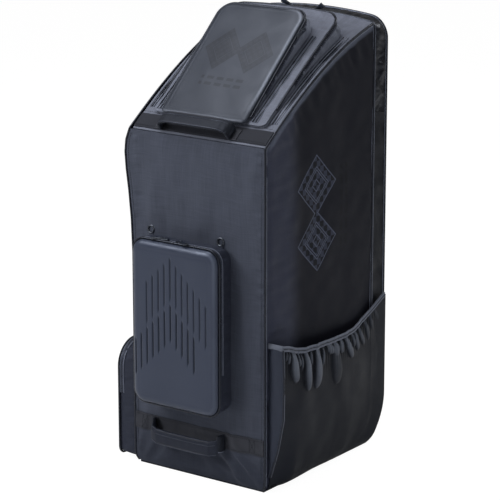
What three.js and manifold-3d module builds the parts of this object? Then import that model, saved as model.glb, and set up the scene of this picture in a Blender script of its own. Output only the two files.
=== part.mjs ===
// Upright cricket kit bag, millimetres, +Z up.
// Origin: centre of the base on the ground. The front faces -Y and the wearer's right is +X.
import * as THREE from "three";
import { mergeVertices } from "three/addons/utils/BufferGeometryUtils.js";
import Module from "manifold-3d";

// Driving dimensions

const BODY_WIDTH = 330;
const BODY_DEPTH = 430;
const FRONT_HEIGHT = 710;
const REAR_HEIGHT = 905;
const REAR_GUSSET_DEPTH = 48;
const REAR_CORNER_RADIUS = 38;
const REAR_SEAM_CORNER_RADIUS = 9;
const SHOULDER_CROWN = 13;
const ZIP_BAND_START = 715;

const CLOTH = 2.5;
const BASE_THICKNESS = 3;
const GAP = 0.35;
const PIPING_RADIUS = 2.2;
const ZIP_WIDTH = 8;
const ZIP_THICKNESS = 1.4;

const EDGE_TUCK = 9;
const EDGE_TUCK_HEIGHT = 26;
const REAR_TUCK = 62;
const REAR_TUCK_HEIGHT = 110;
const REAR_TUCK_CURVE = 2.2;
const FRONT_BULGE = 5;
const SIDE_BULGE = 4;
const LEFT_EDGE_BULGE = 17;

const BAND_THICKNESS = 1.8;
const BAND_STEPS = 3;
const TOP_BAND_WIDTH = 42;
const BOTTOM_BAND_WIDTH = 34;
const BOTTOM_BAND_HEIGHT = 79;

const HANDLE_STRAP = 30;
const HANDLE_THICKNESS = 8;
const HANDLE_TAB = 14;
const HANDLE_TUCK = 2;
const TOP_HANDLE_SPAN = 172;
const TOP_HANDLE_RISE = 24;
const TOP_HANDLE_FORWARD = 1;
const BOTTOM_HANDLE_STRAP = 32;
const BOTTOM_HANDLE_SPAN = 176;
const BOTTOM_HANDLE_RISE = 30;
const BOTTOM_HANDLE_CENTRE = -15;
const BOTTOM_HANDLE_DROOP = 9;

const MID_HALF_WIDTH = 137;
const MID_LENGTH = 318;
const MID_TILT = 34;
const MID_START = 1;
const MID_LOW_RISE = 8;
const MID_RISE = 46;
const MID_RISE_CURVE = 1.6;
const MID_CORNER = 34;
const MID_LOW_CORNER = 12;
const MID_PAD = 1;
const MID_BEVEL = 14;

const LID_HALF_WIDTH = 105;
const LID_RUN = 205.7;
const LID_LOW_RISE = 15;
const LID_HIGH_RISE = 50.6;
const LID_LEAN = 8;
const LID_LIP = 20;
const LID_OVERHANG = 8;
const LID_THICKNESS = 4;
const LID_PAD = 5;
const LID_BEVEL = 11;
const LID_CORNER = 30;
const LID_LOW_CORNER = 10;

const POCKET_LEFT = -127;
const POCKET_WIDTH = 211;
const POCKET_BOTTOM = 158;
const POCKET_HEIGHT = 341;
const POCKET_DEPTH = 55;
const POCKET_SHELL = 4;
const POCKET_PAD = 9;
const POCKET_BEVEL = 16;
const POCKET_CORNER = 27;
const POCKET_ZIP_START = 0.16;

const SLIT_WIDTH = 3.2;
const SLIT_DEPTH = 3;
const SLIT_PITCH = 14.8;
const SLIT_DROP = 14;
const SLIT_APEX_OFFSET = -7.5;

const RING_RADIUS = 8;
const RING_WIRE = 1.6;
const RING_LEFT_INSET = 12;
const RING_RIGHT_INSET = 24;

const LEFT_POCKET_FRONT = 3;
const LEFT_POCKET_REAR = 10;
const LEFT_POCKET_BOTTOM = 12;
const LEFT_POCKET_HEIGHT = 238;
const LEFT_POCKET_DEPTH = 47;
const LEFT_POCKET_PAD = 3;
const LEFT_POCKET_BEVEL = 18;
const LEFT_POCKET_TOP_CORNER = 50;
const LEFT_POCKET_LOW_CORNER = 14;
const LEFT_POCKET_ZIP_START = 0.38;

const ELASTIC_POCKET_DEPTH = 40;
const ELASTIC_POCKET_TOP = 333;
const ELASTIC_POCKET_INSET = 10;
const ELASTIC_PIPING_RADIUS = 1.4;
const ELASTIC_GUSSET_BELLY = 2;
const HEM_HEIGHT = 9;
const HEM_THICKNESS = 4;
const HEM_EDGE = 1;

// How finely round shapes are stepped.
const TUBE_SIDES = 5;
const ARC_STEPS = 4;
const ARCH_STEPS = 3;
const SEAT_SPACING = 38;
const SEAT_PASSES = 28;
const BEVEL_RIB = 0.35;

// Colours, with roughness, from the pieces as they look

const SLATE = { color: 0x474b56, roughness: 0.8 };
const DARK_CLOTH = { color: 0x22232a, roughness: 0.7 };
const COATED = { color: 0x2b2c31, roughness: 0.35 };
const SATIN = { color: 0x52565f, roughness: 0.45 };
const MOULDED = { color: 0x424955, roughness: 0.5 };
const WEBBING = { color: 0x2f3133, roughness: 0.9 };
const HANDLE_CLOTH = { color: 0x3a404b, roughness: 0.75 };
const PIPING = { color: 0x23262d, roughness: 0.5 };
const ZIP = { color: 0x17181c, roughness: 0.4 };
const HEM = { color: 0x3b3e45, roughness: 0.8 };
const METAL = { color: 0x4a4c52, roughness: 0.3, metalness: 0.9 };

const wasm = await Module();
wasm.setup();

const bag = new THREE.Group();
bag.name = "kit_bag";

// Small helpers

const HALF_WIDTH = BODY_WIDTH / 2;
const FRONT_Y = -BODY_DEPTH / 2;
const BACK_Y = BODY_DEPTH / 2;
const SEAM_Y = BACK_Y - REAR_GUSSET_DEPTH;
const SEAM_CLEARANCE = PIPING_RADIUS + GAP;
const FOOT_Z = BASE_THICKNESS + GAP;
const PIPING_FOOT_Z = FOOT_Z + PIPING_RADIUS;

const range = (count) => [...Array(count).keys()];
const steps = (count) => range(count + 1).map((index) => index / count);
const mix = (from, to, share) => from + (to - from) * share;
const clamp = (value, low, high) => Math.min(high, Math.max(low, value));
const smooth = (share) => share * share * (3 - 2 * share);
const radians = (degrees) => (degrees * Math.PI) / 180;

// Value at a place in a table whose rows hold the place and the value, straight between rows.
function readTable(rows, place, column) {
  const last = rows.length - 1;
  if (place <= rows[0].at) return rows[0][column];
  if (place >= rows[last].at) return rows[last][column];
  const next = rows.findIndex((row) => row.at > place);
  const before = rows[next - 1];
  const share = (place - before.at) / (rows[next].at - before.at);
  return mix(before[column], rows[next][column], share);
}

// One closed body from triangles of points, turned so that its faces point outwards.
function body(points, triangles) {
  let volume = 0;
  for (const [a, b, c] of triangles) {
    const cross = new THREE.Vector3(...points[b]).cross(new THREE.Vector3(...points[c]));
    volume += cross.dot(new THREE.Vector3(...points[a]));
  }
  const turned = volume < 0 ? triangles.map(([a, b, c]) => [a, c, b]) : triangles;
  const geometry = new THREE.BufferGeometry();
  geometry.setAttribute("position", new THREE.Float32BufferAttribute(points.flat(), 3));
  geometry.setIndex(turned.flat());
  return geometry;
}

// Body through rings of points, closed on itself or capped at both ends.
function loft(rings, closed = false) {
  const sides = rings[0].length;
  const spans = closed ? rings.length : rings.length - 1;
  const triangles = [];
  for (const span of range(spans)) {
    const here = span * sides;
    const there = ((span + 1) % rings.length) * sides;
    for (const side of range(sides)) {
      const next = (side + 1) % sides;
      triangles.push([here + side, here + next, there + next]);
      triangles.push([here + side, there + next, there + side]);
    }
  }
  if (!closed) {
    const end = (rings.length - 1) * sides;
    for (const side of range(sides - 2)) {
      triangles.push([0, side + 2, side + 1]);
      triangles.push([end, end + side + 1, end + side + 2]);
    }
  }
  return body(rings.flat(), triangles);
}

// Sheet of cloth between an outer and an inner grid of points, each a list of rows.
function sheet(outer, inner) {
  const rows = outer.length;
  const columns = outer[0].length;
  const offset = rows * columns;
  const triangles = [];
  for (const row of range(rows - 1)) {
    for (const column of range(columns - 1)) {
      const a = row * columns + column;
      const b = a + 1;
      const c = a + columns;
      const d = c + 1;
      triangles.push([a, b, d], [a, d, c]);
      triangles.push([offset + a, offset + d, offset + b], [offset + a, offset + c, offset + d]);
    }
  }
  const rim = [
    ...range(columns).map((column) => column),
    ...range(rows - 1).map((row) => (row + 1) * columns + columns - 1),
    ...range(columns - 1).map((column) => rows * columns - 2 - column),
    ...range(rows - 2).map((row) => (rows - 2 - row) * columns),
  ];
  rim.forEach((point, index) => {
    const next = rim[(index + 1) % rim.length];
    triangles.push([point, offset + next, next], [point, offset + point, offset + next]);
  });
  return body([...outer.flat(), ...inner.flat()], triangles);
}

// Round tube along points; `side` gives a direction across the tube at each point.
function tube(points, side, radius, closed = false) {
  const count = points.length;
  const path = points.map((point) => new THREE.Vector3(...point));
  const rings = path.map((point, index) => {
    const before = path[closed ? (index + count - 1) % count : Math.max(index - 1, 0)];
    const after = path[closed ? (index + 1) % count : Math.min(index + 1, count - 1)];
    const along = after.clone().sub(before).normalize();
    const across = new THREE.Vector3(...side(index));
    across.addScaledVector(along, -across.dot(along)).normalize();
    const up = along.clone().cross(across);
    return range(TUBE_SIDES).map((corner) => {
      const angle = (2 * Math.PI * corner) / TUBE_SIDES;
      const place = point.clone();
      place.addScaledVector(across, radius * Math.cos(angle));
      place.addScaledVector(up, radius * Math.sin(angle));
      return place.toArray();
    });
  });
  return loft(rings, closed);
}

// manifold-3d solid of a geometry, and back.
function solid(geometry) {
  const bare = geometry.clone();
  bare.deleteAttribute("normal");
  bare.deleteAttribute("uv");
  const merged = mergeVertices(bare, 1e-4);
  const vertProperties = new Float32Array(merged.attributes.position.array);
  const triVerts = new Uint32Array(merged.index.array);
  return new wasm.Manifold(new wasm.Mesh({ numProp: 3, vertProperties, triVerts }));
}

function geometryOf(manifold) {
  const mesh = manifold.getMesh();
  const geometry = new THREE.BufferGeometry();
  geometry.setAttribute("position", new THREE.BufferAttribute(mesh.vertProperties, 3));
  geometry.setIndex(new THREE.BufferAttribute(mesh.triVerts, 1));
  return geometry;
}

function fuse(geometries) {
  return geometryOf(geometries.map(solid).reduce((whole, piece) => whole.add(piece)));
}

function piece(name, geometry, look) {
  const mesh = new THREE.Mesh(geometry, new THREE.MeshStandardMaterial(look));
  mesh.name = name;
  bag.add(mesh);
  return mesh;
}

// Surfaces of the main body

// The shoulder rises from the front fold to the rear seam along a curve whose one control
// point lies at these shares of its run and rise.
const SHOULDER_BEND = { run: 0.537, rise: 0.8 };
const SHOULDER_RUN = SEAM_Y - FRONT_Y;

function shoulderShare(y) {
  return clamp((y - FRONT_Y) / SHOULDER_RUN, 0, 1);
}

function shoulderZ(y) {
  const bend = SHOULDER_BEND.run;
  const share = shoulderShare(y);
  const t = share / (bend + Math.sqrt(bend * bend + (1 - 2 * bend) * share));
  const rise = 2 * t * (1 - t) * SHOULDER_BEND.rise + t * t;
  return mix(FRONT_HEIGHT, REAR_HEIGHT, rise);
}

function crownZ(x, share) {
  return SHOULDER_CROWN * share * share * (1 - (x / HALF_WIDTH) ** 2);
}

const shoulderTop = (x, y) => shoulderZ(y) + crownZ(x, shoulderShare(y));

// Unit normal of the shoulder in the Y-Z plane.
function shoulderNormal(y) {
  const reach = 1;
  const rise = shoulderZ(y + reach) - shoulderZ(y - reach);
  const length = Math.hypot(rise, 2 * reach);
  return [0, -rise / length, (2 * reach) / length];
}

// The lower edges of the panels draw in towards the base.
const edgeTuck = (z) => EDGE_TUCK * clamp(1 - z / EDGE_TUCK_HEIGHT, 0, 1) ** 2;
const rearTuck = (z) => REAR_TUCK * clamp(1 - z / REAR_TUCK_HEIGHT, 0, 1) ** REAR_TUCK_CURVE;
const backY = (z) => BACK_Y - rearTuck(z);
const seamY = (z) => SEAM_Y - rearTuck(z);

// Clearance along Y beside the piping of a seam that leans where the rear is tucked in.
function rearClearance(z) {
  const reach = 0.5;
  const lean = (rearTuck(z - reach) - rearTuck(z + reach)) / (2 * reach);
  return SEAM_CLEARANCE * Math.hypot(1, lean);
}

// The soft left front edge swells out below the fold.
const LEFT_EDGE = [
  { at: 0.0, bulge: 0 },
  { at: 0.64, bulge: 0 },
  { at: 0.74, bulge: 0.18 },
  { at: 0.82, bulge: 0.5 },
  { at: 0.88, bulge: 0.84 },
  { at: 0.93, bulge: 1 },
  { at: 0.966, bulge: 0.84 },
  { at: 1.0, bulge: 0.3 },
];

function cornerX(side, z) {
  const swell = side < 0 ? LEFT_EDGE_BULGE * readTable(LEFT_EDGE, z / FRONT_HEIGHT, "bulge") : 0;
  return HALF_WIDTH - edgeTuck(z) + swell;
}

// Distance of a side panel's face from the centre plane.
function sideReach(side, y, z) {
  const share = clamp((y - FRONT_Y) / SHOULDER_RUN, 0, 1);
  const swell = cornerX(side, z) - (HALF_WIDTH - edgeTuck(z));
  const fade = (1 - share) ** 2;
  const up = clamp(z / FRONT_HEIGHT, 0, 1);
  const bulge = SIDE_BULGE * Math.sin(Math.PI * share) * Math.sin(Math.PI * up);
  return HALF_WIDTH - edgeTuck(z) + swell * fade + bulge;
}

// Soft creases of the front, each a ridge running down and to one side.
const FRONT_CREASES = [
  { x: 0.66, z: 0.045, lean: 0.6, length: 0.06, width: 0.06, height: 3 },
  { x: -0.5, z: 0.04, lean: -0.4, length: 0.06, width: 0.06, height: 2.5 },
  { x: 0.74, z: 0.42, lean: 0.1, length: 0.16, width: 0.07, height: 2 },
  { x: -0.1, z: 0.85, lean: 0.1, length: 0.08, width: 0.12, height: 2 },
];

// Power by which the creases die out towards the front's edges.
const CREASE_FADE = 8;

function creaseHeight(x, z) {
  let height = 0;
  for (const crease of FRONT_CREASES) {
    const down = crease.z * FRONT_HEIGHT - z;
    const along = down / (crease.length * FRONT_HEIGHT);
    const across = (x - crease.x * HALF_WIDTH - crease.lean * down) / (crease.width * BODY_WIDTH);
    height += crease.height * Math.exp(-across * across - along * along);
  }
  return height;
}

function frontY(x, z) {
  const across = clamp(x / HALF_WIDTH, -1, 1);
  const up = clamp(z / FRONT_HEIGHT, 0, 1);
  const bulge = FRONT_BULGE * (1 - across * across) * Math.sin(Math.PI * up);
  const creases = creaseHeight(x, z) * (1 - across ** CREASE_FADE);
  return FRONT_Y + edgeTuck(z) - bulge - creases;
}

// Rows shared by the panels that meet at the front corners and along the shoulder.
const LOW_ROWS = steps(3).map((share) => mix(FOOT_Z, EDGE_TUCK_HEIGHT, share));
const TUCK_ROWS = steps(3).slice(1).map((share) => mix(EDGE_TUCK_HEIGHT, REAR_TUCK_HEIGHT, share));
const HIGH_SHARES = [0.15, 0.3, 0.45, 0.58, 0.69, 0.78, 0.86, 0.92, 0.96, 1];
const HIGH_ROWS = HIGH_SHARES.map((share) => mix(REAR_TUCK_HEIGHT, FRONT_HEIGHT, share));
const FRONT_ROWS = [...LOW_ROWS, ...TUCK_ROWS, ...HIGH_ROWS];
const SHOULDER_ROWS = steps(11).map((share) => mix(FRONT_Y, SEAM_Y, share));
const FRONT_COLUMNS = steps(8).map((share) => mix(-1, 1, share));
const SIDE_COLUMNS = steps(5);
const TOP_COLUMNS = [-1, -0.83, -0.6, -0.3, 0, 0.3, 0.6, 0.83, 1];
const BACK_COLUMNS = [-1, -0.5, 0, 0.5, 1];

function frontPanel() {
  const grid = (depth) =>
    FRONT_ROWS.map((row) => {
      const z = row === FRONT_HEIGHT ? row - SEAM_CLEARANCE / 2 : row;
      return FRONT_COLUMNS.map((share) => {
        const x = share * (cornerX(Math.sign(share), z) - SEAM_CLEARANCE);
        return [x, frontY(x, z) + depth, z];
      });
    });
  return sheet(grid(0), grid(CLOTH));
}

// Height of a row of a side panel at a place along it: level low down, and spread above so that
// the last row follows the shoulder.
function sideRow(row, y) {
  if (row <= REAR_TUCK_HEIGHT) return row;
  const top = shoulderZ(y) - SEAM_CLEARANCE / shoulderNormal(y)[2];
  const share = (row - REAR_TUCK_HEIGHT) / (FRONT_HEIGHT - REAR_TUCK_HEIGHT);
  return mix(REAR_TUCK_HEIGHT, top, share);
}

function sidePanel(side) {
  const grid = (depth) =>
    SIDE_COLUMNS.map((share) =>
      FRONT_ROWS.map((row) => {
        const front = FRONT_Y + edgeTuck(row) + SEAM_CLEARANCE;
        const y = mix(front, seamY(row) - rearClearance(row), share);
        const z = sideRow(row, y);
        return [side * (sideReach(side, y, z) - depth), y, z];
      }),
    );
  return sheet(grid(0), grid(CLOTH));
}

function basePanel() {
  const width = 2 * (HALF_WIDTH - edgeTuck(FOOT_Z));
  const front = FRONT_Y + edgeTuck(FOOT_Z);
  const rear = backY(FOOT_Z);
  const shape = roundedRectangle(-width / 2, front, width, rear - front, EDGE_TUCK / 2);
  return new THREE.ExtrudeGeometry(shape, {
    depth: BASE_THICKNESS,
    bevelEnabled: false,
    curveSegments: 3,
  });
}

function roundedRectangle(left, low, width, height, radius) {
  const shape = new THREE.Shape();
  const right = left + width;
  const high = low + height;
  shape.moveTo(left + radius, low);
  shape.lineTo(right - radius, low);
  shape.absarc(right - radius, low + radius, radius, -Math.PI / 2, 0);
  shape.lineTo(right, high - radius);
  shape.absarc(right - radius, high - radius, radius, 0, Math.PI / 2);
  shape.lineTo(left + radius, high);
  shape.absarc(left + radius, high - radius, radius, Math.PI / 2, Math.PI);
  shape.lineTo(left, low + radius);
  shape.absarc(left + radius, low + radius, radius, Math.PI, 1.5 * Math.PI);
  return shape;
}

function mainTopPanel() {
  const reach = HALF_WIDTH - SEAM_CLEARANCE;
  const grid = (depth) =>
    SHOULDER_ROWS.map((row) => {
      const y = clamp(row, FRONT_Y + SEAM_CLEARANCE / 2, SEAM_Y - SEAM_CLEARANCE);
      const [, ny, nz] = shoulderNormal(y);
      return TOP_COLUMNS.map((share) => {
        const x = share * reach;
        return [x, y - depth * ny, shoulderTop(x, y) - depth * nz];
      });
    });
  return sheet(grid(0), grid(CLOTH));
}

// Piping up a front corner, over the fold and along the shoulder's edge.
function edgePiping(side) {
  const levels = FRONT_ROWS.slice(0, -1).map((z) => Math.max(z, PIPING_FOOT_Z));
  const upright = levels.map((z) => [side * cornerX(side, z), FRONT_Y + edgeTuck(z), z]);
  const slope = SHOULDER_ROWS.map((y) => clamp(y, FRONT_Y, SEAM_Y - 2 * SEAM_CLEARANCE)).map((y) => [
    side * sideReach(side, y, shoulderZ(y)),
    y,
    shoulderZ(y),
  ]);
  return tube([...upright, ...slope], () => [side, 0, 0], PIPING_RADIUS);
}

// Rear compartment: an upright arch through the seam and another round the back

// Places of the arch's points over its upright top part and over half its top.
const ARCH_MIDDLE = 0.5;
const ARCH_SPAN = [0.66, 0.33];

// Points of the arch from the right foot over the top to the left foot, at one corner radius.
function archSection(radius, low) {
  const top = REAR_HEIGHT;
  const rows = FRONT_ROWS.filter((z) => z > low && z < ZIP_BAND_START - EDGE_TUCK_HEIGHT);
  const seam = low < ZIP_BAND_START ? [ZIP_BAND_START - GAP] : [];
  const right = [low, ...rows, ...seam, mix(ZIP_BAND_START, top, ARCH_MIDDLE)].map((z) => ({
    x: HALF_WIDTH - edgeTuck(z),
    z,
    nx: 1,
    nz: 0,
  }));
  const corner = steps(ARCH_STEPS).map((share) => {
    const angle = (share * Math.PI) / 2;
    const x = HALF_WIDTH - radius + radius * Math.cos(angle);
    const z = top - radius + radius * Math.sin(angle) + crownZ(x, 1);
    return { x, z, nx: Math.cos(angle), nz: Math.sin(angle) };
  });
  const span = ARCH_SPAN.map((share) => {
    const x = share * (HALF_WIDTH - radius);
    return { x, z: top + crownZ(x, 1), nx: 0, nz: 1 };
  });
  const half = [...right, ...corner, ...span];
  const middle = { x: 0, z: top + crownZ(0, 1), nx: 0, nz: 1 };
  const left = half.map((point) => ({ ...point, x: -point.x, nx: -point.nx })).reverse();
  return [...half, middle, ...left];
}

// Ribbon of cloth between two arches, from the seam to the back, over part of the arch.
function rearRibbon(low, keep) {
  const front = archSection(REAR_SEAM_CORNER_RADIUS, low).filter(keep);
  const back = archSection(REAR_CORNER_RADIUS, low).filter(keep);
  const grid = (depth) =>
    front.map((start, index) => {
      const end = back[index];
      return [0, 0.5, 1].map((share) => {
        const x = mix(start.x, end.x, share) - depth * mix(start.nx, end.nx, share);
        const z = mix(start.z, end.z, share) - depth * mix(start.nz, end.nz, share);
        const level = mix(start.z, end.z, share);
        const clearance = rearClearance(level);
        return [x, mix(seamY(level) + clearance, backY(level) - clearance, share), z];
      });
    });
  return sheet(grid(0), grid(CLOTH));
}

const rearGusset = (side) =>
  rearRibbon(FOOT_Z, (point) => point.x * side > 0 && point.z < ZIP_BAND_START);

function archPiping(radius, yAt) {
  const arch = archSection(radius, FOOT_Z);
  const path = arch.map(({ x, z }) => {
    const height = Math.max(z, PIPING_FOOT_Z);
    return [x, yAt(height), height];
  });
  return tube(path, (index) => [arch[index].nx, 0, arch[index].nz], PIPING_RADIUS);
}

function backPanel() {
  const arch = archSection(REAR_CORNER_RADIUS, FOOT_Z);
  const right = arch.slice(0, (arch.length - 1) / 2);
  const grid = (depth) =>
    right.map((point) => {
      const clearance = rearClearance(point.z);
      const z = point.z - clearance * point.nz;
      const half = point.x - clearance * point.nx;
      return BACK_COLUMNS.map((share) => {
        const x = share * half;
        const lift = point.nz === 0 ? 0 : crownZ(x, 1) - crownZ(point.x, 1);
        return [x, backY(point.z) - depth, z + lift];
      });
    });
  return sheet(grid(0), grid(CLOTH));
}

// Raised compartments: a padded panel, piping round its rim, a zip and a gusset down to the bag.
// Each is described on its own rim surface by a place across (a) and a place along (b); `lift`
// is the height over that surface and `clearance` the height of a point over what carries it.

function rimOutline(shape, start, spacing) {
  const { half, length, lowRadius, highRadius } = shape;
  const low = Math.min(lowRadius, half - 1);
  const high = Math.min(highRadius, half - 1);
  const side = length - high - start - low;
  const sideCount = Math.max(1, Math.round(side / spacing));
  const topCount = Math.max(2, 2 * Math.round((half - high) / spacing));
  const lowCount = Math.max(2, 2 * Math.round((half - low) / spacing));
  const arc = (radius, a, b, from) =>
    steps(ARC_STEPS).map((share) => {
      const angle = from + (share * Math.PI) / 2;
      const na = Math.cos(angle);
      const nb = Math.sin(angle);
      return { a: a + radius * na, b: b + radius * nb, na, nb };
    });
  const line = (count, from, to, na, nb) =>
    steps(count).slice(1, -1).map((share) => ({
      a: mix(from[0], to[0], share),
      b: mix(from[1], to[1], share),
      na,
      nb,
    }));
  const lowArc = arc(low, half - low, start + low, -Math.PI / 2);
  const highArc = arc(high, half - high, length - high, 0);
  const upright = line(sideCount, [half, start + low], [half, length - high], 1, 0);
  const right = [...lowArc, ...upright, ...highArc];
  const left = right.map((point) => ({ ...point, a: -point.a, na: -point.na })).reverse();
  const top = line(topCount, [half - high, length], [high - half, length], 0, 1);
  const bottom = line(lowCount, [low - half, start], [half - low, start], 0, -1);
  return [...right, ...top, ...left, ...bottom];
}

// Distance of a place inside the rim from the nearest edge.
function edgeDistance(shape, a, b) {
  const radius = b < shape.length / 2 ? shape.lowRadius : shape.highRadius;
  const across = Math.abs(a) - shape.half + radius;
  const along = Math.abs(b - shape.length / 2) - shape.length / 2 + radius;
  const outside = Math.hypot(Math.max(across, 0), Math.max(along, 0));
  return radius - outside - Math.min(Math.max(across, along), 0);
}

function padHeight(shape, a, b) {
  const share = clamp(edgeDistance(shape, a, b) / shape.bevel, 0, 1);
  return shape.pad * Math.sqrt(1 - (1 - share) ** 2);
}

// Depth below the rim surface at which a place meets what carries the compartment.
function seatDepth(shape, a, b) {
  let near = 0;
  let far = shape.deepest;
  for (const pass of range(SEAT_PASSES)) {
    const middle = (near + far) / 2;
    if (shape.clearance(shape.at(a, b, -middle)) > GAP) near = middle;
    else far = middle;
  }
  return near;
}

function raisedPanel(shape) {
  const arcRows = (radius) =>
    steps(ARC_STEPS).map((share) => radius * (1 - Math.cos((share * Math.PI) / 2)));
  const low = arcRows(shape.lowRadius);
  const high = arcRows(shape.highRadius).map((row) => shape.length - row).reverse();
  const from = shape.lowRadius;
  const to = shape.length - shape.highRadius;
  const count = Math.max(2, Math.round((to - from) / shape.spacing));
  const rows = [...low, ...steps(count).slice(1, -1).map((share) => mix(from, to, share)), ...high];
  const halfWidth = (b) => {
    const isLow = b < shape.length / 2;
    const radius = isLow ? shape.lowRadius : shape.highRadius;
    const reach = clamp(radius - (isLow ? b : shape.length - b), 0, radius);
    return shape.half - radius + Math.sqrt(Math.max(radius * radius - reach * reach, 0));
  };
  const grid = (lift) =>
    rows.map((b) => {
      const half = halfWidth(b);
      const inner = half - shape.bevel;
      const middle = half - shape.bevel * BEVEL_RIB;
      const ribs = shape.ribs.map((rib) => rib * inner);
      const across = [-half, -middle, -inner, ...ribs, inner, middle, half];
      return across.map((a) => shape.at(a, b, lift(a, b)));
    });
  return sheet(
    grid((a, b) => padHeight(shape, a, b)),
    grid(() => -shape.thickness),
  );
}

// Part of the outline over which the gusset is at least this deep, in order along the rim.
function deepOutline(shape, start, least, spacing) {
  const outline = rimOutline(shape, start, spacing);
  const deep = outline.map((point) => seatDepth(shape, point.a, point.b) > least);
  if (deep.every(Boolean)) return { points: outline, closed: true };
  const first = deep.findIndex((ok, index) => ok && !deep[(index + deep.length - 1) % deep.length]);
  const turned = [...outline.slice(first), ...outline.slice(0, first)];
  const flags = [...deep.slice(first), ...deep.slice(0, first)];
  const end = flags.indexOf(false);
  return { points: turned.slice(0, end), closed: false };
}

// Strip standing between two depths, at two distances out from the outline.
function rimStrip(shape, { points, closed }, topDepth, bottomDepth, outer, inner) {
  const rings = points.map((point) => {
    const place = (out, depth) => {
      const a = point.a + out * point.na;
      const b = point.b + out * point.nb;
      return shape.at(a, b, -depth(a, b));
    };
    return [
      place(outer, topDepth),
      place(outer, bottomDepth),
      place(inner, bottomDepth),
      place(inner, topDepth),
    ];
  });
  return loft(rings, closed);
}

function raisedGusset(shape) {
  const top = shape.thickness + GAP;
  const outline = deepOutline(shape, shape.lip, top + CLOTH, SEAT_SPACING);
  return rimStrip(shape, outline, () => top, (a, b) => seatDepth(shape, a, b), 0, -CLOTH);
}

function raisedZip(shape) {
  const top = shape.thickness / 2 + SEAM_CLEARANCE;
  const outline = deepOutline(shape, shape.lip, top + ZIP_WIDTH + GAP, shape.spacing);
  const points = outline.points.filter((point) => point.b > shape.zipFrom);
  const strip = { points, closed: false };
  return rimStrip(shape, strip, () => top, () => top + ZIP_WIDTH, GAP + ZIP_THICKNESS, GAP);
}

function raisedPiping(shape, open) {
  const whole = rimOutline(shape, 0, shape.spacing);
  const outline = open ? whole.filter((point) => point.nb >= 0 && point.b > shape.lowRadius) : whole;
  const path = outline.map((point) =>
    shape.at(
      point.a + SEAM_CLEARANCE * point.na,
      point.b + SEAM_CLEARANCE * point.nb,
      -shape.thickness / 2,
    ),
  );
  const across = (index) => {
    const { a, b, na, nb } = outline[index];
    const from = shape.at(a, b, 0);
    return shape.at(a + na, b + nb, 0).map((value, axis) => value - from[axis]);
  };
  return tube(path, across, PIPING_RADIUS, !open);
}

// Middle compartment on the shoulder

const BAND_END_Y = FRONT_Y + TOP_BAND_WIDTH * Math.abs(shoulderNormal(FRONT_Y + TOP_BAND_WIDTH / 2)[2]);
const MID_START_Y = BAND_END_Y + MID_START;

function midRise(y) {
  const run = MID_LENGTH * Math.cos(radians(MID_TILT));
  const share = clamp((y - MID_START_Y) / run, 0, 1.1);
  return MID_LOW_RISE + (MID_RISE - MID_LOW_RISE) * share ** MID_RISE_CURVE;
}

const midTop = (x, y) => shoulderTop(x, y) + midRise(y);

const MID = {
  half: MID_HALF_WIDTH,
  length: MID_LENGTH,
  lowRadius: MID_LOW_CORNER,
  highRadius: MID_CORNER,
  thickness: CLOTH,
  pad: MID_PAD,
  bevel: MID_BEVEL,
  ribs: [-0.6, -0.2, 0.2, 0.6],
  spacing: 34,
  lip: 0,
  zipFrom: 0,
  deepest: 90,
  at: (a, b, lift) => {
    const tilt = radians(MID_TILT);
    const y = MID_START_Y + b * Math.cos(tilt);
    return [a, y - lift * Math.sin(tilt), midTop(a, y) + lift * Math.cos(tilt)];
  },
  clearance: ([x, y, z]) => (z - shoulderTop(x, y)) * Math.cos(radians(MID_TILT)),
};

// Lid compartment on the middle one

const LID_START_Y = MID_START_Y - LID_OVERHANG;
const LID_START_Z = shoulderZ(LID_START_Y) + LID_LOW_RISE;
const LID_END_Z = midTop(0, LID_START_Y + LID_RUN) + LID_HIGH_RISE;
const LID_TILT = Math.atan2(LID_END_Z - LID_START_Z, LID_RUN);
const LID_LENGTH = Math.hypot(LID_END_Z - LID_START_Z, LID_RUN);

const LID = {
  half: LID_HALF_WIDTH,
  length: LID_LENGTH,
  lowRadius: LID_LOW_CORNER,
  highRadius: LID_CORNER,
  thickness: LID_THICKNESS,
  pad: LID_PAD,
  bevel: LID_BEVEL,
  ribs: [0],
  spacing: 70,
  lip: LID_LIP,
  zipFrom: 0,
  deepest: 110,
  at: (a, b, lift) => {
    const run = Math.cos(LID_TILT);
    const rise = Math.sin(LID_TILT);
    const x = a - LID_LEAN * (1 - b / LID_LENGTH);
    return [x, LID_START_Y + b * run - lift * rise, LID_START_Z + b * rise + lift * run];
  },
  clearance: ([x, y, z]) => (z - midTop(x, y)) * Math.cos(LID_TILT) - MID.pad,
};

// Moulded pocket on the front

const POCKET_CENTRE_X = POCKET_LEFT + POCKET_WIDTH / 2;
const POCKET_RIM_Y = FRONT_Y - POCKET_DEPTH + POCKET_PAD;

const FRONT_POCKET = {
  half: POCKET_WIDTH / 2,
  length: POCKET_HEIGHT,
  lowRadius: POCKET_CORNER,
  highRadius: POCKET_CORNER,
  thickness: POCKET_SHELL,
  pad: POCKET_PAD,
  bevel: POCKET_BEVEL,
  ribs: [0],
  spacing: 110,
  lip: 0,
  zipFrom: POCKET_HEIGHT * POCKET_ZIP_START,
  deepest: POCKET_DEPTH,
  at: (a, b, lift) => [POCKET_CENTRE_X + a, POCKET_RIM_Y - lift, POCKET_BOTTOM + b],
  clearance: ([x, y, z]) => frontY(x, z) - y,
};

// Slits in two chevrons; the places of the apex and the lengths are shares of the pocket's height.
const CHEVRONS = [
  { left: 4, right: 6, apex: 0.93, length: 0.275 },
  { left: 6, right: 4, apex: 0.645, length: 0.24 },
];

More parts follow.
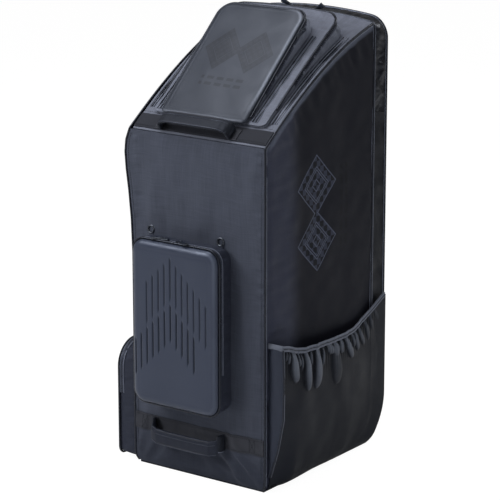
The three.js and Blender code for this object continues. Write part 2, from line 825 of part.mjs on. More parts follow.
function frontPocketPanel() {
  let panel = solid(raisedPanel(FRONT_POCKET));
  const face = POCKET_RIM_Y - POCKET_PAD;
  for (const chevron of CHEVRONS) {
    for (const index of range(chevron.left + chevron.right + 1)) {
      const place = index - chevron.left;
      const length = chevron.length * POCKET_HEIGHT;
      const top = POCKET_BOTTOM + chevron.apex * POCKET_HEIGHT - Math.abs(place) * SLIT_DROP;
      const slit = new THREE.BoxGeometry(SLIT_WIDTH, 2 * SLIT_DEPTH, length);
      const x = POCKET_CENTRE_X + SLIT_APEX_OFFSET + place * SLIT_PITCH;
      slit.translate(x, face, top - length / 2);
      panel = panel.subtract(solid(slit));
    }
  }
  return geometryOf(panel);
}

// Zipped pocket on the left side

const LEFT_RIM_X = HALF_WIDTH + LEFT_POCKET_DEPTH - LEFT_POCKET_PAD;
const LEFT_FRONT_Y = FRONT_Y + LEFT_POCKET_FRONT;
const LEFT_REAR_Y = seamY(LEFT_POCKET_BOTTOM) - LEFT_POCKET_REAR;

const LEFT_POCKET = {
  half: (LEFT_REAR_Y - LEFT_FRONT_Y) / 2,
  length: LEFT_POCKET_HEIGHT,
  lowRadius: LEFT_POCKET_LOW_CORNER,
  highRadius: LEFT_POCKET_TOP_CORNER,
  thickness: CLOTH,
  pad: LEFT_POCKET_PAD,
  bevel: LEFT_POCKET_BEVEL,
  ribs: [0],
  spacing: 90,
  lip: 0,
  zipFrom: LEFT_POCKET_HEIGHT * LEFT_POCKET_ZIP_START,
  deepest: LEFT_POCKET_DEPTH + EDGE_TUCK,
  at: (a, b, lift) => {
    const middle = (LEFT_REAR_Y + LEFT_FRONT_Y) / 2;
    return [-LEFT_RIM_X - lift, middle + a, LEFT_POCKET_BOTTOM + b];
  },
  clearance: ([x, y, z]) => -x - sideReach(-1, y, z),
};

// Open elastic pocket on the right side

// How far the pocket stands out, as shares of its depth, by share of its height; the columns go
// from the front corner over two places between to the rear.
const BELLY = [
  { at: 0.0, front: 0.0, fore: 0.42, mid: 0.22, rear: 0.04 },
  { at: 0.1, front: 0.16, fore: 0.64, mid: 0.4, rear: 0.1 },
  { at: 0.3, front: 0.62, fore: 0.84, mid: 0.55, rear: 0.16 },
  { at: 0.52, front: 0.95, fore: 0.96, mid: 0.62, rear: 0.2 },
  { at: 0.76, front: 0.97, fore: 0.93, mid: 0.62, rear: 0.2 },
  { at: 1.0, front: 0.93, fore: 0.84, mid: 0.52, rear: 0.13 },
];
const BELLY_PLACES = [
  { at: 0.0, column: "front" },
  { at: 0.14, column: "fore" },
  { at: 0.5, column: "mid" },
  { at: 0.86, column: "rear" },
];

// Height of the hem along the pocket, as shares of the pocket's top.
const HEM_LINE = [
  { at: 0.0, height: 0.949 },
  { at: 0.02, height: 0.949 },
  { at: 0.07, height: 0.915 },
  { at: 0.15, height: 0.884 },
  { at: 0.37, height: 0.856 },
  { at: 0.53, height: 0.847 },
  { at: 0.69, height: 0.85 },
  { at: 0.84, height: 0.904 },
  { at: 0.92, height: 0.946 },
  { at: 1.0, height: 1.0 },
];

// Gathers under the hem: place along it, half width and height of the ridge as shares of the
// pocket's length, depth and height, and the sideways drift of the lower end.
const GATHERS = [
  { at: 0.035, width: 0.012, length: 0.12, height: 0.16, drift: 0.0 },
  { at: 0.09, width: 0.028, length: 0.2, height: 0.26, drift: 0.012 },
  { at: 0.185, width: 0.022, length: 0.27, height: 0.24, drift: 0.014 },
  { at: 0.27, width: 0.026, length: 0.3, height: 0.28, drift: -0.01 },
  { at: 0.345, width: 0.014, length: 0.12, height: 0.18, drift: 0.0 },
  { at: 0.45, width: 0.036, length: 0.34, height: 0.3, drift: 0.01 },
  { at: 0.545, width: 0.018, length: 0.13, height: 0.2, drift: 0.008 },
  { at: 0.615, width: 0.024, length: 0.2, height: 0.24, drift: 0.03 },
  { at: 0.7, width: 0.02, length: 0.16, height: 0.2, drift: 0.03 },
  { at: 0.775, width: 0.02, length: 0.17, height: 0.18, drift: 0.03 },
  { at: 0.86, width: 0.018, length: 0.12, height: 0.12, drift: 0.025 },
];

const ELASTIC_FRONT_Y = FRONT_Y + ELASTIC_POCKET_INSET;
const ELASTIC_FOOT_Z = FOOT_Z + GAP;

function elasticY(share, z) {
  const rear = backY(z) - SEAM_CLEARANCE;
  return mix(ELASTIC_FRONT_Y, rear, share);
}

function hemZ(share) {
  return ELASTIC_POCKET_TOP * readTable(HEM_LINE, share, "height");
}

function rightWall(y, z) {
  if (y < seamY(z)) return sideReach(1, y, z);
  return HALF_WIDTH - edgeTuck(z);
}

function bellyDepth(share, up) {
  const last = BELLY_PLACES.length - 1;
  if (share >= BELLY_PLACES[last].at) {
    const rest = (1 - share) / (1 - BELLY_PLACES[last].at);
    return readTable(BELLY, up, BELLY_PLACES[last].column) * rest;
  }
  const next = BELLY_PLACES.findIndex((place) => place.at > share);
  const from = BELLY_PLACES[next - 1];
  const to = BELLY_PLACES[next];
  const blend = smooth((share - from.at) / (to.at - from.at));
  return mix(readTable(BELLY, up, from.column), readTable(BELLY, up, to.column), blend);
}

function gatherHeight(share, up) {
  let height = 0;
  for (const gather of GATHERS) {
    const down = (1 - up) / gather.length;
    if (down > 1) continue;
    const centre = gather.at + gather.drift * down;
    const across = Math.abs(share - centre) / (gather.width * (1 - 0.45 * down));
    if (across >= 1) continue;
    const ridge = Math.cos((across * Math.PI) / 2) ** 2;
    height += gather.height * ridge * Math.sqrt(1 - down * down);
  }
  return height;
}

// Shares of the length over which the pocket steps out over the seam piping, and of the height
// over which its foot curls in.
const SEAM_STEP = { from: 0.5, run: 0.15 };
const FOOT_CURL = 0.04;

// Outer face of the elastic pocket at a share along it and a share up it.
function elasticPoint(share, up, depth) {
  const z = mix(ELASTIC_FOOT_Z, hemZ(share) - HEM_HEIGHT - 2 * GAP, up);
  const y = elasticY(share, z);
  const step = clamp((share - SEAM_STEP.from) / SEAM_STEP.run, 0, 1);
  const overSeam = SEAM_CLEARANCE * step;
  const wall = rightWall(y, z) + GAP + CLOTH + overSeam;
  const stand = ELASTIC_POCKET_DEPTH * (bellyDepth(share, up) + gatherHeight(share, up));
  const curl = Math.sqrt(clamp(up / FOOT_CURL, 0, 1));
  return [wall + Math.max(stand - PIPING_RADIUS, PIPING_RADIUS) * curl - depth, y, z];
}

// Places of the pocket's columns, as shares of its length: the first one, the least place of a
// gather's own columns, their least distance from the hem's knots and the least distance of all.
const ELASTIC_COLUMN = { first: 0.012, gather: 0.03, knot: 0.009, apart: 0.004 };

function elasticColumns() {
  const marks = GATHERS.flatMap((gather) => [
    gather.at - gather.width,
    gather.at,
    gather.at + gather.width,
  ]);
  const knots = HEM_LINE.slice(1).map((row) => row.at);
  const { first, gather, knot, apart } = ELASTIC_COLUMN;
  const clear = (mark) => knots.every((place) => Math.abs(place - mark) > knot);
  const free = marks.filter((mark) => mark > gather && clear(mark));
  const sorted = [...free, ...knots, first].sort((p, q) => p - q);
  return sorted.filter((mark, index) => index === 0 || mark - sorted[index - 1] > apart);
}

const ELASTIC_ROWS = [0, 0.03, 0.12, 0.34, 0.62, 0.8, 0.92, 1];

function elasticFront() {
  const columns = elasticColumns();
  const grid = (depth) =>
    ELASTIC_ROWS.map((up) => columns.map((share) => elasticPoint(share, up, depth)));
  return sheet(grid(0), grid(CLOTH));
}

const ELASTIC_GUSSET_ROWS = [0.1, 0.2, 0.3, 0.42, 0.52, 0.64, 0.76, 0.88, 1];

function elasticCorner(up) {
  const z = mix(ELASTIC_FOOT_Z, hemZ(0) - HEM_HEIGHT - GAP, up);
  const wall = rightWall(ELASTIC_FRONT_Y, z);
  return { z, wall, reach: wall + ELASTIC_POCKET_DEPTH * bellyDepth(0, up) };
}

function elasticGusset() {
  const grid = (depth) =>
    ELASTIC_GUSSET_ROWS.map((up) => {
      const { z, wall, reach } = elasticCorner(up);
      const end = Math.max(reach - ELASTIC_PIPING_RADIUS - GAP, wall + 2 * GAP);
      return [0, 0.5, 1].map((share) => [
        mix(wall + GAP, end, share),
        ELASTIC_FRONT_Y - ELASTIC_GUSSET_BELLY * Math.sin(Math.PI * share) + depth,
        z,
      ]);
    });
  return sheet(grid(0), grid(CLOTH));
}

function elasticPiping() {
  const path = ELASTIC_GUSSET_ROWS.map((up) => {
    const { z, reach } = elasticCorner(up);
    return [reach, ELASTIC_FRONT_Y, z];
  });
  return tube(path, () => [0, 1, 0], ELASTIC_PIPING_RADIUS);
}

// Places of the hem's sections between its knots, and how far it stands proud of the cloth.
const HEM_RIBS = [0.1, 0.26, 0.45, 0.61, 0.77];
const HEM_PROUD = 0.4;

function elasticHem() {
  const corner = elasticCorner(1);
  const start = [
    { x: corner.wall + GAP, y: ELASTIC_FRONT_Y, nx: 0, ny: -1, z: hemZ(0) },
    { x: corner.reach - HEM_THICKNESS, y: ELASTIC_FRONT_Y, nx: 0, ny: -1, z: hemZ(0) },
    { x: corner.reach, y: ELASTIC_FRONT_Y + HEM_THICKNESS, nx: 0.8, ny: -0.6, z: hemZ(0) },
  ];
  const knots = HEM_LINE.slice(1).map((row) => row.at);
  const along = [...knots, ...HEM_RIBS].sort((p, q) => p - q);
  const rest = along.map((share) => {
    const [x, y] = elasticPoint(share, 1, 0);
    return { x: x + HEM_PROUD * HEM_THICKNESS, y, nx: 1, ny: 0, z: hemZ(share) };
  });
  const rings = [...start, ...rest].map(({ x, y, z, nx, ny }) => {
    const inset = HEM_THICKNESS;
    const inner = Math.max(x - nx * inset, nx > 0 ? corner.wall + GAP : x - nx * inset);
    const low = z - HEM_HEIGHT;
    return [
      [x, y, low],
      [x, y, z - HEM_EDGE],
      [mix(x, inner, 0.5), y - ny * inset * 0.5, z],
      [inner, y - ny * inset, z - HEM_EDGE],
      [inner, y - ny * inset, low],
    ];
  });
  return loft(rings);
}

// Bands and grab handles

function topBand() {
  const reach = HALF_WIDTH - SEAM_CLEARANCE;
  const start = FRONT_Y + 2 * SEAM_CLEARANCE;
  const rows = steps(BAND_STEPS).map((share) => mix(start, BAND_END_Y, share));
  const grid = (height) =>
    rows.map((y) => {
      const [, ny, nz] = shoulderNormal(y);
      return TOP_COLUMNS.map((share) => {
        const x = share * reach;
        return [x, y + height * ny, shoulderTop(x, y) + height * nz];
      });
    });
  return sheet(grid(GAP + BAND_THICKNESS), grid(GAP));
}

function bottomBand() {
  const rows = [0, 0.5, 1].map((share) => BOTTOM_BAND_HEIGHT + share * BOTTOM_BAND_WIDTH);
  const grid = (height) =>
    rows.map((z) =>
      FRONT_COLUMNS.map((share) => {
        const x = share * (cornerX(Math.sign(share), z) - SEAM_CLEARANCE);
        return [x, frontY(x, z) - height, z];
      }),
    );
  return sheet(grid(GAP + BAND_THICKNESS), grid(GAP));
}

// Section of a padded strap, as shares of its width and thickness.
const HANDLE_SECTION = [
  { wide: -0.5, high: 0 },
  { wide: -0.4, high: 0.42 },
  { wide: 0, high: 0.5 },
  { wide: 0.4, high: 0.42 },
  { wide: 0.5, high: 0 },
  { wide: 0.4, high: -0.42 },
  { wide: 0, high: -0.5 },
  { wide: -0.4, high: -0.42 },
];

// Padded strap that lies on a band at both ends and stands off it between them. `frame` gives the
// point at a place across, a place along the strap's width and a height over the band.
function grabHandle({ span, strap, rise, droop }, frame) {
  const stations = [
    { at: -0.5, off: 0, tab: HANDLE_TAB, fill: 0.3 },
    { at: -0.5, off: 0, tab: HANDLE_TUCK, fill: 0.35 },
    { at: -0.49, off: 0.35, tab: 0, fill: 0.5 },
    { at: -0.46, off: 0.75, tab: 0, fill: 0.75 },
    { at: -0.38, off: 0.96, tab: 0, fill: 1 },
    { at: -0.2, off: 1, tab: 0, fill: 1 },
    { at: 0, off: 1, tab: 0, fill: 1 },
  ];
  const mirrored = stations.slice(0, -1).reverse();
  const all = [
    ...stations.map((station) => ({ ...station, sign: 1 })),
    ...mirrored.map((station) => ({ ...station, at: -station.at, sign: -1 })),
  ];
  const rings = all.map(({ at, off, tab, fill, sign }, index) => {
    const thick = HANDLE_THICKNESS * fill;
    const across = at * span - sign * tab;
    const height = GAP + thick / 2 + off * (rise - thick);
    const before = all[Math.max(index - 1, 0)];
    const after = all[Math.min(index + 1, all.length - 1)];
    const climb = (after.off - before.off) * rise;
    const run = (after.at - before.at) * span + before.sign * before.tab - after.sign * after.tab;
    const length = Math.hypot(climb, run);
    const lean = [-climb / length, run / length];
    const sag = -droop * off;
    return HANDLE_SECTION.map((corner) => {
      const wide = corner.wide * strap;
      const high = corner.high * thick;
      return frame(across + high * lean[0], wide + sag, height + high * lean[1]);
    });
  });
  return loft(rings);
}

function topHandle() {
  const middle = (FRONT_Y + BAND_END_Y) / 2 - TOP_HANDLE_FORWARD;
  const [, ny, nz] = shoulderNormal(middle);
  const z = shoulderZ(middle);
  const base = BAND_THICKNESS + 2 * GAP;
  const size = { span: TOP_HANDLE_SPAN, strap: HANDLE_STRAP, rise: TOP_HANDLE_RISE, droop: 0 };
  return grabHandle(size, (across, wide, height) => [
    across,
    middle + wide * nz + (base + height) * ny,
    z - wide * ny + (base + height) * nz,
  ]);
}

function bottomHandle() {
  const middle = BOTTOM_BAND_HEIGHT + BOTTOM_BAND_WIDTH / 2;
  const base = BAND_THICKNESS + 2 * GAP;
  const size = {
    span: BOTTOM_HANDLE_SPAN,
    strap: BOTTOM_HANDLE_STRAP,
    rise: BOTTOM_HANDLE_RISE,
    droop: BOTTOM_HANDLE_DROOP,
  };
  return grabHandle(size, (across, wide, height) => {
    const x = BOTTOM_HANDLE_CENTRE + across;
    return [x, frontY(x, middle) - base - height, middle + wide];
  });
}

// Zip pulls and rings

const PULL = { length: 24, width: 7, thickness: 1.8, slider: 9, rise: 4 };

// Slider with a hanging tag; it stands on the plane z = 0 and its tag points to +X.
function zipPull() {
  const slider = new THREE.BoxGeometry(PULL.slider, PULL.width, PULL.rise);
  slider.translate(0, 0, PULL.rise / 2);
  const tag = new THREE.BoxGeometry(PULL.length, PULL.width * 0.7, PULL.thickness);
  tag.translate(PULL.length / 2, 0, PULL.rise - PULL.thickness / 2);
  const eye = new THREE.CylinderGeometry(PULL.width / 2, PULL.width / 2, PULL.thickness, 10);
  eye.rotateX(Math.PI / 2);
  eye.translate(PULL.length, 0, PULL.rise - PULL.thickness / 2);
  return fuse([slider, tag, eye]);
}

// Places a pull on a raised compartment's zip, its tag along the rim.
function placePull(name, shape, a, b, na, nb, turn = 1) {
  const depth = shape.thickness / 2 + SEAM_CLEARANCE + ZIP_WIDTH / 2;
  const out = 2 * GAP + ZIP_THICKNESS;
  const at = (da, db, lift) => new THREE.Vector3(...shape.at(a + da, b + db, lift));
  const origin = at(out * na, out * nb, -depth);
  const up = at((out + 1) * na, (out + 1) * nb, -depth).sub(origin).normalize();
  const along = at(out * na - turn * nb, out * nb + turn * na, -depth).sub(origin);
  along.addScaledVector(up, -along.dot(up)).normalize();
  const matrix = new THREE.Matrix4().makeBasis(along, up.clone().cross(along), up);
  matrix.setPosition(origin);
  piece(name, zipPull().applyMatrix4(matrix), METAL);
}

// Ring standing in its loop against the bag, above one corner of the front pocket.
function pocketRing(name, a) {
  const x = POCKET_CENTRE_X + a;
  const z = POCKET_BOTTOM + POCKET_HEIGHT + GAP + RING_WIRE + RING_RADIUS;
  const y = frontY(x, z) - GAP - RING_WIRE;
  const ring = new THREE.TorusGeometry(RING_RADIUS, RING_WIRE, 6, 14);
  ring.rotateX(Math.PI / 2);
  ring.translate(x, y, z);
  piece(name, ring, METAL);
}

piece("base_panel", basePanel(), DARK_CLOTH);
piece("front_panel", frontPanel(), SLATE);
piece("side_panel_right", sidePanel(1), DARK_CLOTH);
piece("side_panel_left", sidePanel(-1), DARK_CLOTH);
piece("main_top_panel", mainTopPanel(), SLATE);
piece("edge_piping_right", edgePiping(1), PIPING);
piece("edge_piping_left", edgePiping(-1), PIPING);
piece("rear_gusset_right", rearGusset(1), DARK_CLOTH);
piece("rear_gusset_left", rearGusset(-1), DARK_CLOTH);
piece("rear_zip_band", rearRibbon(ZIP_BAND_START, () => true), COATED);
piece("rear_seam_piping", archPiping(REAR_SEAM_CORNER_RADIUS, seamY), PIPING);
piece("back_panel", backPanel(), DARK_CLOTH);
piece("back_piping", archPiping(REAR_CORNER_RADIUS, backY), PIPING);

piece("mid_gusset", raisedGusset(MID), SLATE);
piece("mid_panel", raisedPanel(MID), SLATE);
piece("mid_piping", raisedPiping(MID, true), PIPING);
piece("mid_zip", raisedZip(MID), ZIP);

piece("lid_gusset", raisedGusset(LID), SLATE);
piece("lid_panel", raisedPanel(LID), SATIN);
piece("lid_piping", raisedPiping(LID, true), PIPING);
piece("lid_zip", raisedZip(LID), ZIP);

piece("top_band", topBand(), WEBBING);
piece("bottom_band", bottomBand(), WEBBING);
piece("top_handle", topHandle(), HANDLE_CLOTH);
piece("bottom_handle", bottomHandle(), HANDLE_CLOTH);

piece("front_pocket_panel", frontPocketPanel(), MOULDED);
piece("front_pocket_gusset", raisedGusset(FRONT_POCKET), SLATE);
piece("front_pocket_piping", raisedPiping(FRONT_POCKET, false), PIPING);
piece("front_pocket_zip", raisedZip(FRONT_POCKET), ZIP);
pocketRing("front_pocket_ring_left", RING_LEFT_INSET - FRONT_POCKET.half);
pocketRing("front_pocket_ring_right", FRONT_POCKET.half - RING_RIGHT_INSET);

piece("left_pocket_panel", raisedPanel(LEFT_POCKET), DARK_CLOTH);
piece("left_pocket_gusset", raisedGusset(LEFT_POCKET), SLATE);
piece("left_pocket_piping", raisedPiping(LEFT_POCKET, false), PIPING);
piece("left_pocket_zip", raisedZip(LEFT_POCKET), ZIP);

piece("side_pocket_front", elasticFront(), DARK_CLOTH);
piece("side_pocket_gusset", elasticGusset(), SLATE);
piece("side_pocket_piping", elasticPiping(), PIPING);
piece("side_pocket_hem", elasticHem(), HEM);

placePull("lid_zip_pull", LID, LID.half, LID.length * 0.86, 1, 0, -1);
placePull("mid_zip_pull_left", MID, MID.half * 0.12, MID.length, 0, 1, 1);
placePull("mid_zip_pull_right", MID, MID.half * 0.5, MID.length, 0, 1, -1);
placePull("front_pocket_pull_left", FRONT_POCKET, -0.42 * FRONT_POCKET.half, FRONT_POCKET.length, 0, 1);
placePull("front_pocket_pull_right", FRONT_POCKET, 0.02 * FRONT_POCKET.half, FRONT_POCKET.length, 0, 1);
placePull("left_pocket_pull", LEFT_POCKET, LEFT_POCKET.half * 0.3, LEFT_POCKET.length, 0, 1, -1);

export default bag;
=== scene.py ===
import math
from types import SimpleNamespace

import bpy
import numpy as np
from mathutils import Matrix, Vector


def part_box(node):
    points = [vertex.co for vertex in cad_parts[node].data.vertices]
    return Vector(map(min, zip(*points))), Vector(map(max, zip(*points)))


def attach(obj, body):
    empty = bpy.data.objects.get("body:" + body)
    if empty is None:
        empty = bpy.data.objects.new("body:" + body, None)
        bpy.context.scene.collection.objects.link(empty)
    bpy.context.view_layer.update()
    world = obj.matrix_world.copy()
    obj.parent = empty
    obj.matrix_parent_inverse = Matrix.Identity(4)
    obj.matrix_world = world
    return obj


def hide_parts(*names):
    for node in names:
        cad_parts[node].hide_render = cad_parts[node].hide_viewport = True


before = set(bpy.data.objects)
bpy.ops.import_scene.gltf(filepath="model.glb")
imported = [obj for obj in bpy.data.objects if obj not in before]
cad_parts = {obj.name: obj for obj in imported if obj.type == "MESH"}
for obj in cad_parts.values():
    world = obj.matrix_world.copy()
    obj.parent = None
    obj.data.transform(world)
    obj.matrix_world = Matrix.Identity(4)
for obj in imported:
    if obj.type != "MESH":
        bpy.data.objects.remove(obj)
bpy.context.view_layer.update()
bpy.ops.object.select_all(action="DESELECT")

MM = 0.001
HALF_WIDTH = 165.0
FRONT_Y = -215.0
BACK_Y = 215.0
SEAM_Y = 167.0
FRONT_HEIGHT = 710.0
REAR_HEIGHT = 905.0
ZIP_BAND_START = 715.0
REAR_SEAM_CORNER = 9.0
REAR_CORNER = 38.0
CLOTH = 2.5
GAP = 0.35
PIPING = 2.2
SEAM = PIPING + GAP
FOOT_Z = 3.35
EDGE_TUCK_HEIGHT = 26.0
REAR_TUCK_HEIGHT = 110.0
SHOULDER_RUN = SEAM_Y - FRONT_Y


def mix(low, high, share):
    return low + (high - low) * share


def clamp(value, low=0.0, high=1.0):
    return np.clip(value, low, high)


def smooth(value, low=0.0, high=1.0):
    share = clamp((value - low) / (high - low))
    return share * share * (3 - 2 * share)


def hump(value, centre, reach):
    return np.exp(-(((value - centre) / reach) ** 2))


def waves(u, v, size, seed, stretch=(1.0, 1.0), terms=14):
    """Soft uneven ripples of about unit height; `size` is their usual length in millimetres."""
    rng = np.random.default_rng(seed)
    angle = rng.uniform(0, 2 * math.pi, terms)
    reach = 2 * math.pi / size * rng.uniform(0.55, 1.5, terms)
    start = rng.uniform(0, 2 * math.pi, terms)
    total = 0.0
    for turn, step, phase in zip(angle, reach, start):
        across = math.cos(turn) * u / stretch[0] + math.sin(turn) * v / stretch[1]
        total = total + np.cos(step * across + phase)
    return total / math.sqrt(terms / 2)


def pleats(u, v, size, seed, stretch):
    """Narrow ridges with broad valleys between them, above and below 0."""
    return np.exp(-2.4 * np.abs(waves(u, v, size, seed, stretch))) - 0.4


# Surfaces of the main body, as in the part's source


def shoulder_share(y):
    return clamp((y - FRONT_Y) / SHOULDER_RUN)


def shoulder_z(y):
    share = shoulder_share(y)
    bend = 0.537
    t = share / (bend + np.sqrt(bend * bend + (1 - 2 * bend) * share))
    return mix(FRONT_HEIGHT, REAR_HEIGHT, 2 * t * (1 - t) * 0.8 + t * t)


def crown_z(x, share):
    return 13.0 * share**2 * (1 - (x / HALF_WIDTH) ** 2)


def shoulder_top(x, y):
    return shoulder_z(y) + crown_z(x, shoulder_share(y))


def shoulder_normal(y):
    rise = shoulder_z(y + 1) - shoulder_z(y - 1)
    length = np.hypot(rise, 2)
    return -rise / length, 2 / length


def edge_tuck(z):
    return 9.0 * clamp(1 - z / EDGE_TUCK_HEIGHT) ** 2


def rear_tuck(z):
    return 62.0 * clamp(1 - z / REAR_TUCK_HEIGHT) ** 2.2


def back_y(z):
    return BACK_Y - rear_tuck(z)


def seam_y(z):
    return SEAM_Y - rear_tuck(z)


LEFT_EDGE_AT = [0.0, 0.64, 0.74, 0.82, 0.88, 0.93, 0.966, 1.0]
LEFT_EDGE_SWELL = [0.0, 0.0, 3.06, 8.5, 14.28, 17.0, 14.28, 5.1]


def left_swell(z):
    return np.interp(z / FRONT_HEIGHT, LEFT_EDGE_AT, LEFT_EDGE_SWELL)


def corner_x(side, z):
    return HALF_WIDTH - edge_tuck(z) + np.where(np.asarray(side) < 0, left_swell(z), 0.0)


def side_reach(side, y, z):
    share = shoulder_share(y)
    up = clamp(z / FRONT_HEIGHT)
    swell = left_swell(z) * (1 - share) ** 2 if side < 0 else 0.0
    bulge = 4.0 * np.sin(math.pi * share) * np.sin(math.pi * up)
    return HALF_WIDTH - edge_tuck(z) + swell + bulge


FRONT_CREASES = [
    (0.66, 0.045, 0.6, 0.06, 0.06, 3.0),
    (-0.5, 0.04, -0.4, 0.06, 0.06, 2.5),
    (0.74, 0.42, 0.1, 0.16, 0.07, 2.0),
    (-0.1, 0.85, 0.1, 0.08, 0.12, 2.0),
]


def front_y(x, z):
    across = clamp(x / HALF_WIDTH, -1, 1)
    up = clamp(z / FRONT_HEIGHT)
    height = 0.0
    for at, high, lean, length, width, rise in FRONT_CREASES:
        down = high * FRONT_HEIGHT - z
        beside = (x - at * HALF_WIDTH - lean * down) / (width * 2 * HALF_WIDTH)
        height = height + rise * np.exp(-(beside**2) - (down / (length * FRONT_HEIGHT)) ** 2)
    bulge = 5.0 * (1 - across**2) * np.sin(math.pi * up)
    return FRONT_Y + edge_tuck(z) - bulge - height * (1 - across**8)


# Small folds of the front cloth: a place across and up, the fold's lean, length, width and height.
FRONT_FOLDS = [
    (118, 52, 0.95, 46, 7, 2.2),
    (136, 40, 1.2, 34, 6, 1.8),
    (96, 34, 0.7, 30, 8, 1.5),
    (148, 88, 0.35, 30, 6, 1.2),
    (134, 66, 1.5, 40, 9, 1.6),
    (52, 44, 2.2, 26, 16, 1.6),
    (-70, 36, -1.6, 30, 13, 1.6),
    (70, 62, 1.3, 34, 12, 2.6),
    (30, 40, 1.0, 26, 13, 1.6),
    (100, 90, 0.6, 30, 9, 1.6),
    (-118, 48, -0.6, 36, 8, 1.8),
    (-146, 60, -0.2, 42, 7, 1.5),
    (-96, 30, -0.9, 24, 8, 1.3),
    (124, 300, 0.12, 90, 9, 1.3),
    (143, 210, -0.08, 80, 7, 1.0),
    (112, 420, 0.2, 70, 11, 1.2),
    (140, 560, 0.1, 90, 9, 0.8),
    (-143, 360, 0.04, 110, 6, 1.0),
    (-60, 640, 0.35, 60, 15, 1.1),
    (40, 600, -0.25, 70, 17, 1.2),
    (92, 652, 0.5, 40, 12, 0.9),
    (-112, 560, 0.2, 80, 12, 1.0),
]


def front_folds(x, z):
    height = 0.0
    sharpness = mix(1.15, 1.7, smooth(z, 120, 220))
    for at, high, lean, length, width, rise in FRONT_FOLDS:
        down = high - z
        beside = (x - at - lean * down) / (sharpness * width)
        height = height + rise * np.exp(-(beside**2) - (down / length) ** 2)
    return height


def front_wrinkles(x, z):
    """Height that the cloth stands over the smooth front, dying out at its seams."""
    near = clamp((HALF_WIDTH - np.abs(x)) / 10) * clamp(z / 14) * clamp((FRONT_HEIGHT - z) / 12)
    seam = hump(np.abs(x), HALF_WIDTH - 9, 13)
    pucker = seam * waves(x, z, 17, 3, (3.0, 1.0))
    drape = 0.75 * waves(x, z, 120, 4, (0.7, 1.6)) + 0.28 * waves(x, z, 42, 5, (0.8, 1.4))
    return near * (2.1 * front_folds(x, z) + drape + 0.6 * pucker)


def front_face(x, z):
    return front_y(x, z) - front_wrinkles(x, z)


# Meshes


def unit(vectors):
    return vectors / np.linalg.norm(vectors, axis=-1, keepdims=True)


def joined(*parts):
    """Points from their three coordinates, of which some may be single numbers."""
    return np.stack(np.broadcast_arrays(*parts), -1)


def run_length(line):
    """Length along a line of points, from its first point to each of them."""
    return np.concatenate([[0], np.cumsum(np.linalg.norm(np.diff(line, axis=0), axis=1))])


def only(obj):
    bpy.ops.object.select_all(action="DESELECT")
    obj.select_set(True)
    bpy.context.view_layer.objects.active = obj


def apply_modifier(obj, kind, **values):
    only(obj)
    modifier = obj.modifiers.new(kind.title(), kind)
    for key, value in values.items():
        setattr(modifier, key, value)
    bpy.ops.object.modifier_apply(modifier=modifier.name)


def smooth_faces(obj, degrees=38):
    only(obj)
    bpy.ops.object.shade_smooth_by_angle(angle=math.radians(degrees))


def edit_whole(obj, *steps):
    """Runs mesh operators on a whole piece; each step is an operator with its values."""
    only(obj)
    bpy.ops.object.mode_set(mode="EDIT")
    bpy.ops.mesh.select_all(action="SELECT")
    for operator, values in steps:
        operator(**values)
    bpy.ops.object.mode_set(mode="OBJECT")


def face_out(obj):
    edit_whole(obj, (bpy.ops.mesh.normals_make_consistent, {"inside": False}))


def new_piece(name, points, faces):
    mesh = bpy.data.meshes.new(name)
    mesh.from_pydata((points * MM).reshape(-1, 3).tolist(), [], faces)
    obj = bpy.data.objects.new(name, mesh)
    bpy.context.scene.collection.objects.link(obj)
    return obj


def vectors_of(items, key):
    flat = np.empty(len(items) * 3)
    items.foreach_get(key, flat)
    return flat.reshape(-1, 3)


def write_uv(obj, u, v):
    """Gives each point of a mesh a place on its UV map, in metres of cloth."""
    mesh = obj.data
    layer = mesh.uv_layers[0] if mesh.uv_layers else mesh.uv_layers.new(name="UVMap")
    corner = np.empty(len(mesh.loops), np.int64)
    mesh.loops.foreach_get("vertex_index", corner)
    layer.data.foreach_set("uv", np.stack([u[corner], v[corner]], -1).astype(np.float32).ravel())


def cloth(name, columns, rows, place, wall=CLOTH, about=(0, 0, 400), masks=None, closed=False):
    """Sheet of cloth on a grid; place(u, v) gives its outer face, which looks away from `about`, and
    its wall lies inside that. Returns the piece with its flat size and area, in metres."""
    bpy.ops.object.select_all(action="DESELECT")
    bpy.ops.mesh.primitive_grid_add(x_subdivisions=columns, y_subdivisions=rows, size=2)
    obj = bpy.context.object
    obj.name = obj.data.name = name
    grid = vectors_of(obj.data.vertices, "co")
    u, v = (grid[:, 0] + 1) / 2, (grid[:, 1] + 1) / 2
    points = joined(*(part + 0 * u for part in place(u, v))) * MM
    obj.data.vertices.foreach_set("co", points.ravel())
    net = points.reshape(rows + 1, columns + 1, 3)
    across = np.linalg.norm(np.diff(net, axis=1), axis=2)
    along = np.linalg.norm(np.diff(net, axis=0), axis=2)
    left = np.concatenate([np.zeros((rows + 1, 1)), np.cumsum(across, 1)], 1)
    low = np.concatenate([np.zeros((1, columns + 1)), np.cumsum(along, 0)], 0)
    write_uv(obj, (left - left[:, -1:] / 2).ravel(), low.ravel())
    for key, values in (masks(u, v) if masks else {}).items():
        mask = obj.data.attributes.new(key, "FLOAT", "POINT")
        mask.data.foreach_set("value", np.asarray(values, np.float32))
    obj.data.update()
    outward = vectors_of(obj.data.polygons, "center") - np.array(about) * MM
    if (outward * vectors_of(obj.data.polygons, "normal")).sum() < 0:
        obj.data.flip_normals()
    if closed:
        edit_whole(obj, (bpy.ops.mesh.remove_doubles, {"threshold": 2e-5}))
    area = sum(face.area for face in obj.data.polygons)
    if wall:
        apply_modifier(obj, "SOLIDIFY", thickness=wall * MM, offset=-1)
    smooth_faces(obj)
    flat = (float(across.sum(1).max()), float(along.sum(0).max()))
    return obj, flat, min(float(area), flat[0] * flat[1])


